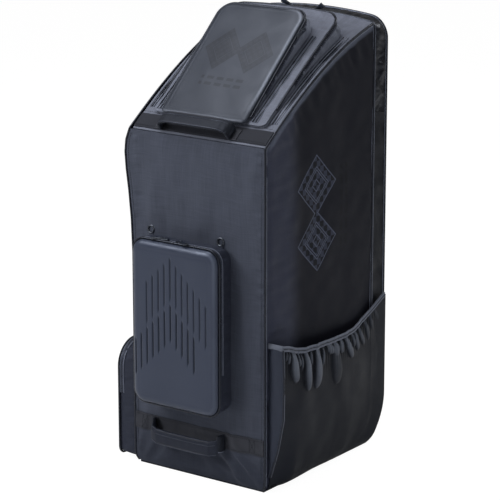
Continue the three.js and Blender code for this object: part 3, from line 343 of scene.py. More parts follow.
def tube(name, points, side, radius, closed=False, sides=10, flatten=1.0):
    """Round cord of trim along points; `side` is a direction across it at each point."""
    path = np.asarray(points, float)
    count = len(path)
    along = np.roll(path, -1, 0) - np.roll(path, 1, 0) if closed else np.gradient(path, axis=0)
    along = unit(along)
    across = np.asarray(side, float) * np.ones_like(path)
    across = unit(across - (across * along).sum(1, keepdims=True) * along)
    up = np.cross(along, across)
    angle = np.arange(sides) * 2 * math.pi / sides
    ring = (
        path[:, None]
        + radius * np.cos(angle)[None, :, None] * across[:, None]
        + radius * flatten * np.sin(angle)[None, :, None] * up[:, None]
    )
    faces = []
    for here in range(count if closed else count - 1):
        there = (here + 1) % count
        for edge in range(sides):
            other = (edge + 1) % sides
            corners = ((here, edge), (here, other), (there, other), (there, edge))
            faces.append(tuple(row * sides + corner for row, corner in corners))
    if not closed:
        faces.append(tuple(reversed(range(sides))))
        faces.append(tuple((count - 1) * sides + edge for edge in range(sides)))
    obj = new_piece(name, ring, faces)
    write_uv(obj, np.repeat(run_length(path) * MM, sides), np.tile(angle * radius * MM, count))
    face_out(obj)
    smooth_faces(obj, 60)
    return obj


BLOCK = np.array([(x, y, z) for z in (-0.5, 0.5) for y in (-0.5, 0.5) for x in (-0.5, 0.5)], float)
BLOCK_FACES = [(0, 2, 3, 1), (4, 5, 7, 6), (0, 1, 5, 4), (2, 6, 7, 3), (0, 4, 6, 2), (1, 3, 7, 5)]


def repeated(name, places, along, up, size, taper=0.7):
    """One mesh of many small blocks, such as stitches or zip teeth, each `size` along, across and
    up at its place, and narrower at its top by `taper`."""
    along = unit(along)
    up = unit(up - (up * along).sum(1, keepdims=True) * along)
    block = BLOCK.copy()
    block[block[:, 2] > 0, :2] *= taper
    corners = places[:, None]
    for axis, way in enumerate((along, np.cross(up, along), up)):
        corners = corners + size[axis] * block[None, :, axis : axis + 1] * way[:, None]
    starts = range(0, 8 * len(places), 8)
    faces = [tuple(start + part for part in face) for start in starts for face in BLOCK_FACES]
    return new_piece(name, corners, faces)


def spaced(points, pitch):
    """Places every `pitch` along a line of points, with the line's direction and share there."""
    line = np.asarray(points, float)
    length = run_length(line)
    at = np.arange(pitch / 2, length[-1], pitch)

    def point(step):
        return np.stack([np.interp(at + step, length, line[:, axis]) for axis in range(3)], -1)

    return point(0), point(0.5) - point(-0.5), at / length[-1]


def between(values, shares):
    marks = np.linspace(0, 1, len(values))
    return np.stack([np.interp(shares, marks, values[:, axis]) for axis in range(3)], -1)


def stitches(name, lines, pitch=4.6, size=(3.2, 0.8, 0.5)):
    """Rows of stitches; each line is its points and the cloth's outward direction there."""
    places, along, up = [], [], []
    for points, out in lines:
        place, direction, shares = spaced(points, pitch)
        outward = between(np.asarray(out, float) * np.ones_like(points), shares)
        places.append(place + 0.25 * outward)
        along.append(direction)
        up.append(outward)
    return repeated(name, np.concatenate(places), np.concatenate(along), np.concatenate(up), size)


# Shader parts


class Signal:
    """A number or colour that a material works out at each point; operators add maths nodes."""

    def __init__(self, tree, socket):
        self.tree, self.socket = tree, socket

    def math(self, operation, *others):
        return signal(self.tree, "ShaderNodeMath", dict(enumerate((self, *others))), operation=operation)

    def __add__(self, other):
        return self.math("ADD", other)

    def __sub__(self, other):
        return self.math("SUBTRACT", other)

    def __mul__(self, other):
        return self.math("MULTIPLY", other)

    def __truediv__(self, other):
        return self.math("DIVIDE", other)

    def __rtruediv__(self, other):
        return signal(self.tree, "ShaderNodeMath", {0: other, 1: self}, operation="DIVIDE")

    def __abs__(self):
        return self.math("ABSOLUTE")

    def under(self, limit):
        return self.math("LESS_THAN", limit)

    def over(self, limit):
        return self.math("GREATER_THAN", limit)

    def parts(self):
        split = node(self.tree, "ShaderNodeSeparateXYZ", {0: self})
        return [Signal(self.tree, socket) for socket in split.outputs]


def node(tree, kind, inputs=None, **settings):
    """Adds a node; each input is a value or a signal."""
    made = tree.nodes.new(kind)
    for key, value in settings.items():
        setattr(made, key, value)
    for key, value in (inputs or {}).items():
        if isinstance(value, Signal):
            tree.links.new(value.socket, made.inputs[key])
        else:
            made.inputs[key].default_value = value
    return made


def signal(tree, kind, inputs=None, output=0, **settings):
    return Signal(tree, node(tree, kind, inputs, **settings).outputs[output])


def group(fill, inputs):
    """Shader group named after the function that fills it; an input without a value is a place."""
    made = bpy.data.node_groups.new(fill.__name__, "ShaderNodeTree")
    for label, value in inputs.items():
        kind = "NodeSocketVector" if value is None else "NodeSocketFloat"
        socket = made.interface.new_socket(label, in_out="INPUT", socket_type=kind)
        if value is not None:
            socket.default_value = value
    start = made.nodes.new("NodeGroupInput")
    outputs = fill(made, {label: Signal(made, start.outputs[label]) for label in inputs})
    for label in outputs:
        made.interface.new_socket(label, in_out="OUTPUT", socket_type="NodeSocketFloat")
    node(made, "NodeGroupOutput", outputs)
    return made


def woven_threads(tree, given):
    """Plain weave: threads over and under each other, and slubs that run along them."""
    thread = signal(tree, "ShaderNodeCombineXYZ", dict.fromkeys(range(3), given["Thread"]))
    place = signal(tree, "ShaderNodeVectorMath", {0: given["Place"], 1: thread}, operation="DIVIDE")
    x, y, _ = place.parts()
    over = (x * math.pi).math("SINE") * (y * math.pi).math("SINE")
    height = over.math("MULTIPLY_ADD", 0.5, 0.5)
    noises = []
    for stretch, seed in (((0.02, 0.5, 1), 0.0), ((0.5, 0.02, 1), 7.0)):
        mapping = {"Vector": place, "Scale": stretch, "Location": (seed, seed, 0)}
        long = signal(tree, "ShaderNodeMapping", mapping)
        noises.append(signal(tree, "ShaderNodeTexNoise", {"Vector": long, "Scale": 1.0, "Detail": 2.0}))
    slub = noises[0] + noises[1] - 1.0
    return {"Height": height, "Tone": slub.math("MULTIPLY_ADD", given["Slubs"], height * 0.35)}


def handled_tone(tree, given):
    """Uneven tone of dyed and handled cloth, in broad clouds with a finer grain."""
    clouds = signal(tree, "ShaderNodeTexNoise", {"Vector": given["Place"], "Scale": 1.0 / given["Size"],
                                                 "Detail": 5.0, "Roughness": 0.62})
    return {"Tone": (clouds - 0.5).math("MULTIPLY_ADD", given["Amount"], 1.0)}


def webbing_ribs(tree, given):
    """Fine ribs of webbing or elastic across the strap, with the weave's small steps along them."""
    x, y, _ = given["Place"].parts()
    turn, step = x / given["Rib"], y / given["Step"]
    rib = (turn * (2 * math.pi)).math("SINE")
    weave = ((step + turn) * (2 * math.pi)).math("SINE")
    return {"Height": weave.math("MULTIPLY_ADD", 0.35, rib).math("MULTIPLY_ADD", 0.37, 0.5)}


def coated_grain(tree, given):
    """Fine pebbled grain of coated cloth and moulded panels, with a few longer creases."""
    pebbles = signal(tree, "ShaderNodeTexVoronoi", {"Vector": given["Place"], "Scale": 1.0 / given["Grain"]},
                     feature="SMOOTH_F1")
    crinkle = signal(tree, "ShaderNodeTexNoise", {"Vector": given["Place"], "Scale": 24.0, "Detail": 3.0,
                                                  "Roughness": 0.5, "Distortion": 0.8})
    return {"Height": pebbles + crinkle * given["Crinkle"], "Gloss": crinkle}


def nested_diamonds(tree, given):
    """Nested diamonds round a centre, filled with small checks, as masks of their lines and fill."""
    reach = abs(given["Across"]) / given["Half Width"] + abs(given["Along"]) / given["Half Height"]
    lines = abs(reach - 1.0).under(given["Line"])
    for ring in (0.62, 0.52, 0.2):
        lines = lines.math("MAXIMUM", abs(reach - ring).under(given["Line"]))
    fill = (reach.under(1.0) * reach.over(0.62)).math("MAXIMUM", reach.under(0.52))
    place = signal(tree, "ShaderNodeCombineXYZ", {0: given["Across"], 1: given["Along"]})
    checks = signal(tree, "ShaderNodeTexChecker", {"Vector": place, "Scale": 1.0 / given["Check"]}, "Fac")
    return {"Lines": lines, "Fill": fill, "Checks": checks * fill}


WOVEN = group(woven_threads, {"Place": None, "Thread": 0.001, "Slubs": 0.4})
MOTTLE = group(handled_tone, {"Place": None, "Size": 0.06, "Amount": 0.12})
RIBS = group(webbing_ribs, {"Place": None, "Rib": 0.002, "Step": 0.0016})
GRAIN = group(coated_grain, {"Place": None, "Grain": 0.0012, "Crinkle": 0.0})
DIAMONDS = group(nested_diamonds, {"Across": 0.0, "Along": 0.0, "Half Width": 0.05, "Half Height": 0.05,
                                   "Line": 0.02, "Check": 0.008})


def use(tree, made, inputs):
    """Places a shader group in a material and returns its outputs by name."""
    placed = node(tree, "ShaderNodeGroup", inputs, node_tree=made)
    return {socket.name: Signal(tree, socket) for socket in placed.outputs}


def linear(colour):
    """Blender colour of a colour given as it looks on a screen, from 0 to 255."""
    def part_of(share):
        return share / 12.92 if share <= 0.04045 else ((share + 0.055) / 1.055) ** 2.4

    return tuple(part_of(part / 255) for part in colour) + (1.0,)


def colour_mix(share, first, colour):
    inputs = {0: share, 6: first, 7: linear(colour)}
    return signal(share.tree, "ShaderNodeMix", inputs, 2, data_type="RGBA")


def span(value, low, high, first=0.0, last=1.0):
    """Smooth share of the way from low to high, as a number from first to last."""
    inputs = {"Value": value, "From Min": low, "From Max": high, "To Min": first, "To Max": last}
    return signal(value.tree, "ShaderNodeMapRange", inputs, interpolation_type="SMOOTHSTEP")


def mask_of(tree, name):
    return signal(tree, "ShaderNodeAttribute", output="Fac", attribute_name=name)


def object_place(tree):
    return signal(tree, "ShaderNodeTexCoord", output="Object")


def cloth_map(tree):
    return signal(tree, "ShaderNodeUVMap", uv_map="UVMap")


# Materials


def material(name, roughness, metallic=0.0, sheen=0.0, sheen_colour=(255, 255, 255), coat=0.0, specular=0.5):
    made = bpy.data.materials.new(name)
    made.use_nodes = True
    shader = made.node_tree.nodes["Principled BSDF"]
    values = {
        "Roughness": roughness, "Metallic": metallic, "Specular IOR Level": specular,
        "Specular Tint": (0.72, 0.8, 1.0, 1), "Sheen Weight": sheen, "Sheen Roughness": 0.45,
        "Sheen Tint": linear(sheen_colour), "Coat Weight": coat, "Coat Roughness": 0.35,
    }
    for key, value in values.items():
        shader.inputs[key].default_value = value
    return made, made.node_tree, shader


def surface(shader, colour, tone, roughness, height, strength, depth):
    """Joins a look's colour, gloss and relief to its shader."""
    tree = tone.tree
    both = {0: 1.0, 6: colour, 7: tone}
    toned = signal(tree, "ShaderNodeMix", both, 2, data_type="RGBA", blend_type="MULTIPLY")
    relief = signal(tree, "ShaderNodeBump", {"Strength": strength, "Distance": depth, "Height": height})
    for key, value in (("Base Color", toned), ("Roughness", roughness), ("Normal", relief)):
        tree.links.new(value.socket, shader.inputs[key])


def cloth_look(name, colour, thread=0.001, roughness=0.78, sheen=0.05, slubs=0.5, mottling=0.3, paint=None,
               specular=0.4, size=0.05):
    """Woven cloth; `paint` may change its colour by place and return the new colour."""
    made, tree, shader = material(name, roughness, 0.0, sheen, (150, 160, 185), specular=specular)
    place = cloth_map(tree)
    threads = use(tree, WOVEN, {"Place": place, "Thread": thread, "Slubs": slubs})
    clouds = use(tree, MOTTLE, {"Place": place, "Size": size, "Amount": mottling})["Tone"]
    painted = paint(tree, linear(colour)) if paint else linear(colour)
    rough = span(clouds, 0.9, 1.1, roughness - 0.07, roughness + 0.07)
    surface(shader, painted, (threads["Tone"] + 0.82) * clouds, rough, threads["Height"], 0.35, 0.0003)
    return made


def coated_look(name, colour, roughness=0.38, crinkle=0.2, grain=0.0014, depth=0.0006, paint=None, coat=0.0,
                strength=0.15, specular=0.5):
    """Coated or moulded face with a fine grain."""
    made, tree, shader = material(name, roughness, coat=coat, specular=specular)
    place = object_place(tree)
    grained = use(tree, GRAIN, {"Place": place, "Grain": grain, "Crinkle": crinkle})
    clouds = use(tree, MOTTLE, {"Place": place, "Size": 0.08, "Amount": 0.22})["Tone"]
    painted = paint(tree, linear(colour)) if paint else linear(colour)
    rough = span(grained["Gloss"], 0.3, 0.7, roughness - 0.06, roughness + 0.06)
    surface(shader, painted, clouds, rough, grained["Height"], strength, depth)
    return made


def ribbed_look(name, colour, rib=0.0021, step=0.0017, roughness=0.85, sheen=0.05):
    made, tree, shader = material(name, roughness, 0.0, sheen, (150, 155, 165), specular=0.3)
    place = cloth_map(tree)
    ribs = use(tree, RIBS, {"Place": place, "Rib": rib, "Step": step})["Height"]
    clouds = use(tree, MOTTLE, {"Place": place, "Size": 0.03, "Amount": 0.25})["Tone"]
    rough = span(clouds, 0.9, 1.1, roughness - 0.08, roughness)
    surface(shader, linear(colour), span(ribs, 0.1, 0.9, 0.7, 1.15) * clouds, rough, ribs, 0.5, 0.0006)
    return made


def metal_look(name, colour, roughness=0.28):
    made, tree, shader = material(name, roughness, metallic=0.9)
    clouds = use(tree, MOTTLE, {"Place": object_place(tree), "Size": 0.006, "Amount": 0.5})["Tone"]
    rough = span(clouds, 0.85, 1.15, roughness + 0.12, roughness - 0.08)
    surface(shader, linear(colour), clouds, rough, clouds, 0.15, 0.0002)
    return made


# Painted places


def motif(painted, places, half, check, colours):
    """Nested diamonds at a place, with the colours of their ground, checks and lines."""
    across, along = places
    made = use(across.tree, DIAMONDS, {"Across": across, "Along": along, "Half Width": half[0],
                                       "Half Height": half[1], "Line": 0.026, "Check": check})
    for part, colour in zip(("Fill", "Checks", "Lines"), colours):
        painted = colour_mix(made[part], painted, colour)
    return painted


def bars(painted, away, along, reach, gaps, colour):
    """A dashed bar; `away` is a place across it, its middle line and its half width."""
    bar = abs(away[0] - away[1]).under(away[2]) * abs(along).under(reach)
    return colour_mix(bar * gaps, painted, colour)


def side_paint(tree, base):
    """Right side: painted light on the padded strip by the front seam, which turns towards the light, a
    painted highlight along the rounded edge under the shoulder, and an embroidered motif of nested diamonds
    with two bars beside it."""
    x, y, z = object_place(tree).parts()
    # Painted light: the padded strip by the front seam turns towards the light, so it is painted lighter.
    strip = span(y, -0.150, -0.088, 1.0, 0.0) * span(z, 0.08, 0.3, 0.75, 1.0)
    painted = colour_mix(strip, base, (53, 56, 71))
    # Painted highlight along the rounded edge under the shoulder seam, where it catches the light.
    painted = colour_mix(mask_of(tree, "edge"), painted, (92, 98, 114))
    height = z - 0.547
    painted = motif(painted, (y + 0.04, abs(height) - 0.057), (0.067, 0.062), 0.0125,
                    ((6, 6, 13), (50, 54, 70), (80, 86, 104)))
    gaps = (z * 31.0).math("FRACT").over(0.28)
    for middle in (0.048, 0.066):
        painted = bars(painted, (y, middle, 0.0045), height, 0.085, gaps, (4, 4, 9))
    return painted


LID_TILT = math.radians(43.6)


def lid_paint(tree, base):
    """Lid: two of the same nested diamonds, pressed in, two dashed bars under them, and painted highlights
    where its bevel and edges catch the light.
    """
    x, y, z = object_place(tree).parts()
    x = x + 0.002
    b = (y + 0.188) * math.cos(LID_TILT) + (z - 0.745) * math.sin(LID_TILT)
    painted = motif(base, (abs(x) - 0.039, b - 0.166), (0.044, 0.052), 0.0085,
                    ((6, 7, 11), (19, 21, 29), (3, 3, 6)))
    gaps = (x * 42.0).math("FRACT").over(0.3)
    for middle in (0.094, 0.079):
        painted = bars(painted, (b, middle, 0.0036), x, 0.055, gaps, (4, 5, 9))
    # Painted highlight along the lid's right bevel, upper corner and left edge.
    return colour_mix(mask_of(tree, "edge"), painted, (128, 134, 148))


def gather_paint(tree, base):
    """Elastic pocket: painted highlights where the raised gathers catch the light, and painted shade in the
    pleats between them.
    """
    # Painted highlight on the gathers, and painted shade in the pleats.
    painted = colour_mix(mask_of(tree, "gather"), base, (100, 106, 118))
    return colour_mix(mask_of(tree, "pleat"), painted, (8, 8, 11))


def slit_paint(tree, base):
    """Moulded shell: painted highlights on its rounded edges, and painted shade inside the slits."""
    # Painted highlight on the shell's rounded right and upper edges.
    painted = colour_mix(mask_of(tree, "edge"), base, (96, 103, 120))
    # Painted shade inside the slits.
    return colour_mix(mask_of(tree, "slit"), painted, (25, 29, 40))


def front_paint(tree, base):
    """Front cloth: painted shade, a little darker towards its foot and its lower right."""
    x, y, z = object_place(tree).parts()
    # Painted shade: darker towards the foot and towards the lower right.
    low = span(z, 0.02, 0.14, 0.7, 0.0)
    right = span(x, 0.05, 0.16) * span(z, 0.62, 0.3, 0.0, 0.22)
    return colour_mix(low.math("MAXIMUM", right), base, (29, 32, 43))


SLATE = cloth_look("slate_cloth", (66, 70, 82), 0.0012, 0.78, 0.12, 0.45, 0.4, front_paint)
# Its lightness is in part painted light, making up for the low light on the flange round the lid.
SHOULDER = cloth_look("shoulder_cloth", (102, 106, 119), roughness=0.6, sheen=0.12, mottling=0.8, size=0.02)
DARK = cloth_look("dark_cloth", (17, 17, 26), 0.0009, 0.6, sheen=0.02, specular=0.2)
SIDE = cloth_look("side_cloth", (13, 13, 22), 0.0009, 0.55, sheen=0.01, specular=0.2, paint=side_paint)
POCKET_CLOTH = cloth_look("side_pocket_cloth", (14, 16, 23), 0.0008, 0.5, 0.01,
                          paint=gather_paint, specular=0.25)
POCKET_GUSSET = cloth_look("side_pocket_gusset_look", (40, 44, 56), 0.0008, 0.55, 0.03)
# Made much lighter than the slate cloth of the gussets, to make up for the shade on their right-facing
# sides: painted light.
GUSSET = cloth_look("gusset_cloth", (118, 123, 137), 0.0008, 0.5, 0.08, mottling=0.9, size=0.012)
LEFT_CLOTH = cloth_look("left_pocket_cloth", (40, 43, 55), sheen=0.06)
HANDLE = cloth_look("handle_cloth", (17, 19, 26), roughness=0.6)
LOW_HANDLE = cloth_look("low_handle_cloth", (25, 28, 39), roughness=0.6, sheen=0.03)
# Mid-grey tape, made lighter still for the shade along the zips: partly its own colour, partly painted
# light.
TAPE = cloth_look("zip_tape_cloth", (66, 70, 83), 0.0007, 0.5)
DARK_THREAD = cloth_look("dark_thread", (14, 15, 20), 0.0006, 0.6, 0.0)
SATIN = coated_look("satin_panel", (34, 38, 47), 0.42, 0.5, 0.0011, paint=lid_paint, coat=0.12,
                    strength=0.12)
MOULDED = coated_look("moulded_panel", (48, 54, 70), 0.36, 0.3, 0.0009, paint=slit_paint)
COATED = coated_look("coated_cloth", (10, 11, 17), 0.26, 2.0, depth=0.001, strength=0.3, specular=0.35)
GUSSET_COATED = coated_look("rear_gusset_cloth", (8, 9, 14), 0.45, 1.0, depth=0.0008, strength=0.2,
                            specular=0.25)
TRIM = coated_look("piping_trim", (16, 17, 23), 0.3, grain=0.0006)
SEAM_TRIM = coated_look("seam_trim", (50, 54, 66), 0.4, grain=0.0006)
# Pale colour of thin folds, welts, cord and zip edges and the hem's lines: painted highlight, the light that
# these edges catch.
PALE_TRIM = coated_look("pale_trim", (112, 118, 134), 0.4, grain=0.0006)
TEETH = coated_look("zip_teeth", (34, 36, 44), 0.28, 0.0, 0.0008, strength=0.25)
WEBBING = ribbed_look("webbing", (58, 59, 65))
TOP_WEBBING = ribbed_look("top_webbing_look", (46, 47, 53))
HEM = ribbed_look("hem_elastic", (108, 113, 126), 0.0016, 0.0012, sheen=0.1)
METAL = metal_look("pull_metal", (84, 88, 96))


def dress(obj, look, slot, *nodes):
    """Gives a finished piece its look and hides the solids that it stands for; `slot` is not used."""
    obj.data.materials.clear()
    obj.data.materials.append(look)
    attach(obj, "root")
    if nodes:
        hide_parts(*nodes)
    return obj


def dress_sheet(made, look, slot, nodes):
    obj, flat, area = made
    dress(obj, look, slot, *nodes)


# Panels of the main body


def front_x(share, z):
    """Place across the front at a height, from one side seam (-1) to the other (1)."""
    return share * (corner_x(np.sign(share), z) - SEAM)


def front_place(u, v):
    z = mix(FOOT_Z, FRONT_HEIGHT - SEAM / 2, v)
    x = front_x(2 * u - 1, z)
    return x, front_face(x, z), z


made = cloth("front_cloth", 90, 210, front_place)
dress_sheet(made, SLATE, "slate_cloth", ["front_panel"])


def side_wrinkles(side, y, z):
    edge = clamp((y - FRONT_Y) / 8) * clamp((seam_y(z) - y) / 8) * clamp(z / 12)
    top = clamp((shoulder_z(y) - z) / 10)
    strip = 3.0 * smooth(y, -213, -190) * smooth(y, -84, -150)
    ripple = 0.7 * smooth(y, -95, -150) * waves(y, z, 26, 21 + side, (4.0, 1.0))
    drape = 0.8 * waves(y, z, 170, 22 + side, (1.0, 1.5)) + 0.25 * waves(y, z, 60, 23 + side)
    shoulder = hump(shoulder_z(y) - z, 34, 26)
    pull = 1.1 * shoulder * waves(y + 0.8 * z, z, 34, 24, (1.0, 4.0))
    return edge * top * (strip + ripple + drape + pull)


def rear_clear(z):
    """Room that a seam's piping takes at a height, where the bag's rear leans in at its foot."""
    return SEAM * np.hypot(1, rear_tuck(z - 0.5) - rear_tuck(z + 0.5))


def side_place(side):
    def place(u, v):
        level = mix(FOOT_Z, FRONT_HEIGHT, v)
        front = FRONT_Y + edge_tuck(level) + SEAM
        y = mix(front, seam_y(level) - rear_clear(level), u if side > 0 else 1 - u)
        top = shoulder_z(y) - SEAM / shoulder_normal(y)[1]
        share = clamp((level - REAR_TUCK_HEIGHT) / (FRONT_HEIGHT - REAR_TUCK_HEIGHT))
        z = np.where(level <= REAR_TUCK_HEIGHT, level, mix(REAR_TUCK_HEIGHT, top, share))
        return side * (side_reach(side, y, z) + side_wrinkles(side, y, z)), y, z

    return place


def side_masks(u, v):
    _, y, z = side_place(1)(u, v)
    below = (shoulder_z(y) - z) * shoulder_normal(y)[1]
    # The edge mask is a painted highlight along the rounded top edge of the side, under the shoulder.
    return {"edge": 0.85 * smooth(below, 16, 9) * smooth(below, 1, 4) * smooth(y, -214, -196)}


for side, name, look, grid, masks in (
    (1, "right", SIDE, (80, 190), side_masks),
    (-1, "left", DARK, (60, 130), None),
):
    made = cloth(f"side_cloth_{name}", *grid, side_place(side), masks=masks)
    dress_sheet(made, look, "dark_cloth", [f"side_panel_{name}"])


def on_shoulder(x, y, lift):
    ny, nz = shoulder_normal(y)
    return x, y + lift * ny, shoulder_top(x, y) + lift * nz


def top_place(u, v):
    y = mix(FRONT_Y + SEAM / 2, SEAM_Y - SEAM, v)
    x = (2 * u - 1) * (HALF_WIDTH - SEAM)
    edge = clamp((HALF_WIDTH - np.abs(x)) / 12) * clamp(v / 0.05) * clamp((1 - v) / 0.03)
    lift = 0.9 * waves(x, y, 30, 31, (1.0, 2.2)) + 0.9 * pleats(x, y, 15, 32, (0.7, 2.6))
    return on_shoulder(x, y, edge * lift)


def base_place(u, v):
    inset = edge_tuck(FOOT_Z) + 0.5
    return (2 * u - 1) * (HALF_WIDTH - inset), mix(back_y(FOOT_Z) - 0.5, FRONT_Y + inset, v), 0.4


made = cloth("shoulder_cloth", 90, 110, top_place)
dress_sheet(made, SHOULDER, "slate_cloth", ["main_top_panel"])
dress_sheet(cloth("base_cloth", 24, 30, base_place, 2.4), DARK, "dark_cloth", ["base_panel"])

# Rear compartment


def arch(radius, share):
    """Outline of the rear arch from the right foot (0) over the top to the left foot (1)."""
    straight = REAR_HEIGHT - radius - FOOT_Z
    bend = radius * math.pi / 2
    flat = 2 * (HALF_WIDTH - radius)
    total = 2 * straight + 2 * bend + flat
    at = share * total
    left = at > total / 2
    at = np.where(left, total - at, at)
    angle = clamp((at - straight) / bend) * math.pi / 2
    run = clamp((at - straight - bend) / (flat / 2)) * (flat / 2)
    z = FOOT_Z + np.minimum(at, straight) + radius * np.sin(angle)
    x = HALF_WIDTH - radius + radius * np.cos(angle) - run - edge_tuck(z)
    z = z + crown_z(x, 1) * smooth(z, REAR_HEIGHT - radius, REAR_HEIGHT - radius * 0.3)
    sign = np.where(left, -1.0, 1.0)
    return sign * x, z, sign * np.cos(angle), np.sin(angle)


ARCH_LENGTH = 2 * (REAR_HEIGHT - REAR_CORNER) + REAR_CORNER * math.pi + 2 * (HALF_WIDTH - REAR_CORNER)
BAND_SHARE = (ZIP_BAND_START - FOOT_Z) / ARCH_LENGTH
BAND_GAP = 0.0004


def rear_ribbon(start, stop, wrinkles):
    def place(u, v):
        share = mix(start, stop, u)
        x0, z0, nx0, nz0 = arch(REAR_SEAM_CORNER, share)
        x1, z1, nx1, nz1 = arch(REAR_CORNER, share)
        clear = rear_clear(z0)
        z = mix(z0, z1, v)
        y = mix(seam_y(z) + clear, back_y(z) - clear, v)
        lift = np.sin(math.pi * v) ** 0.7 * wrinkles(share * ARCH_LENGTH, y)
        return mix(x0, x1, v) + lift * mix(nx0, nx1, v), y, z + lift * mix(nz0, nz1, v)

    return place


def crinkles(along, y):
    soft = 1.0 * waves(along, y, 60, 41, (1.0, 1.3)) + 0.7 * waves(along, y, 26, 42, (1.0, 1.6))
    return soft + 1.4 * pleats(along, y, 38, 43, (0.9, 1.8))


def gusset_folds(along, y):
    slant = along + 0.7 * y
    return 0.9 * waves(slant, y, 55, 44, (1.0, 2.0)) + 0.6 * pleats(slant, y, 48, 45, (0.9, 2.4))


for name, grid, start, stop in (
    ("right", (210, 18), 0.0, BAND_SHARE - BAND_GAP),
    ("left", (150, 14), 1.0, 1 - BAND_SHARE + BAND_GAP),
):
    ribbon = rear_ribbon(start, stop, gusset_folds)
    made = cloth(f"rear_gusset_cloth_{name}", *grid, ribbon, about=(0, 190, 400))
    dress_sheet(made, GUSSET_COATED, "dark_cloth", [f"rear_gusset_{name}"])
ribbon = rear_ribbon(BAND_SHARE, 1 - BAND_SHARE, crinkles)
made = cloth("rear_band_cloth", 260, 18, ribbon, about=(0, 190, 700))
dress_sheet(made, COATED, "coated_cloth", ["rear_zip_band"])


def back_place(u, v):
    """The back panel, between the two uprights of the arch."""
    x, z, nx, nz = arch(REAR_CORNER, 0.5 * v)
    clear = rear_clear(z)
    half = np.maximum(x - clear * nx, 0.5)
    place = (1 - 2 * u) * half
    z = z - clear * nz + (crown_z(place, 1) - crown_z(x, 1)) * smooth(nz, 0.0, 0.6)
    edge = np.minimum(clamp((half - np.abs(place)) / 12), clamp((z - 4) / 10)) * clamp((0.985 - v) / 0.05)
    lift = edge * (1.6 * waves(place, z, 150, 51) + 0.5 * waves(place, z, 45, 52))
    return place, back_y(z) + lift, z


dress_sheet(cloth("back_cloth", 60, 150, back_place), DARK, "dark_cloth", ["back_panel"])

# Piping of the body's seams, and thin folds of cloth beside it that catch the light


def arch_line(radius, y_at, shift=0.0, out=0.0):
    """Line of the arch's seam, moved back and outwards, with its outward directions."""
    x, z, nx, nz = arch(radius, np.linspace(0, 1, 260))
    z = np.maximum(z, FOOT_Z + PIPING)
    side = joined(nx, 0.0, nz)
    return joined(x, y_at(z) + shift, z) + out * side, side


def edge_line(side):
    """Front corner's seam and the shoulder's side seam above it, as one line."""
    z = np.linspace(FOOT_Z + PIPING, FRONT_HEIGHT - 2, 200)
    y = np.linspace(FRONT_Y + 1, SEAM_Y - 2 * SEAM, 200)
    return np.concatenate([
        joined(side * corner_x(side, z), FRONT_Y + edge_tuck(z), z),
        joined(side * side_reach(side, y, shoulder_z(y)), y, shoulder_z(y)),
    ])


def fold_line(side):
    """The same two runs, on the side panel beside the piping."""
    low = np.linspace(12, FRONT_HEIGHT - 3, 200)
    far = np.linspace(FRONT_Y + 4, SEAM_Y - 8, 200)
    y = np.concatenate([FRONT_Y + edge_tuck(low) + 4.6, far])
    z = np.concatenate([low, shoulder_z(far) - 4.6 / shoulder_normal(far)[1]])
    return joined(side * (side_reach(side, y, z) + 0.3), y, z)


for name, radius, y_at in (("rear_seam", REAR_SEAM_CORNER, seam_y), ("back", REAR_CORNER, back_y)):
    dress(tube(f"{name}_cord", *arch_line(radius, y_at), PIPING), TRIM, "piping", f"{name}_piping")
for side, name in ((1, "right"), (-1, "left")):
    cord = tube(f"edge_cord_{name}", edge_line(side), (side, 0, 0), PIPING)
    dress(cord, TRIM, "piping", f"edge_piping_{name}")
    dress(tube(f"edge_fold_{name}", fold_line(side), (side, 0, 0), 0.9, sides=6), PALE_TRIM, "piping")
for name, radius, y_at, shift, out in (
    ("rear_seam_fold", REAR_SEAM_CORNER, seam_y, -3.6, -0.4),
    ("rear_inner_fold", REAR_SEAM_CORNER, seam_y, 4.0, 0.2),
    ("back_fold", REAR_CORNER, back_y, -4.2, 0.2),
):
    points, across = arch_line(radius, y_at, shift, out)
    keep = points[:, 2] > 12
    dress(tube(name, points[keep], across[keep], 0.8, sides=6), PALE_TRIM, "piping")

# Raised compartments: each is described on its own rim surface by a place across (a) and along (b)

BAND_END_Y = FRONT_Y + 42 * abs(shoulder_normal(FRONT_Y + 21)[1])
MID_START_Y = BAND_END_Y + 1
MID_LENGTH = 318.0
MID_TILT = math.radians(34)


def mid_top(x, y):
    share = clamp((y - MID_START_Y) / (MID_LENGTH * math.cos(MID_TILT)), 0, 1.1)
    return shoulder_top(x, y) + 8 + 38 * share**1.6


def mid_at(a, b, lift):
    y = MID_START_Y + b * math.cos(MID_TILT)
    return a, y - lift * math.sin(MID_TILT), mid_top(a, y) + lift * math.cos(MID_TILT)


MID = SimpleNamespace(
    half=137.0, length=MID_LENGTH, low=12.0, high=34.0, thick=CLOTH, pad=1.0, bevel=14.0, deepest=90.0,
    at=mid_at,
    clearance=lambda x, y, z: (z - shoulder_top(x, y)) * math.cos(MID_TILT),
)

LID_START_Y = MID_START_Y - 8
LID_START_Z = float(shoulder_z(LID_START_Y)) + 15
LID_LENGTH = 284.06


def lid_at(a, b, lift):
    run, rise = math.cos(LID_TILT), math.sin(LID_TILT)
    x = a - 8 * (1 - b / LID_LENGTH)
    return x, LID_START_Y + b * run - lift * rise, LID_START_Z + b * rise + lift * run


LID = SimpleNamespace(
    half=105.0, length=LID_LENGTH, low=10.0, high=30.0, thick=4.0, pad=5.0, bevel=11.0, deepest=110.0,
    at=lid_at,
    clearance=lambda x, y, z: (z - mid_top(x, y)) * math.cos(LID_TILT) - 1.0,
)

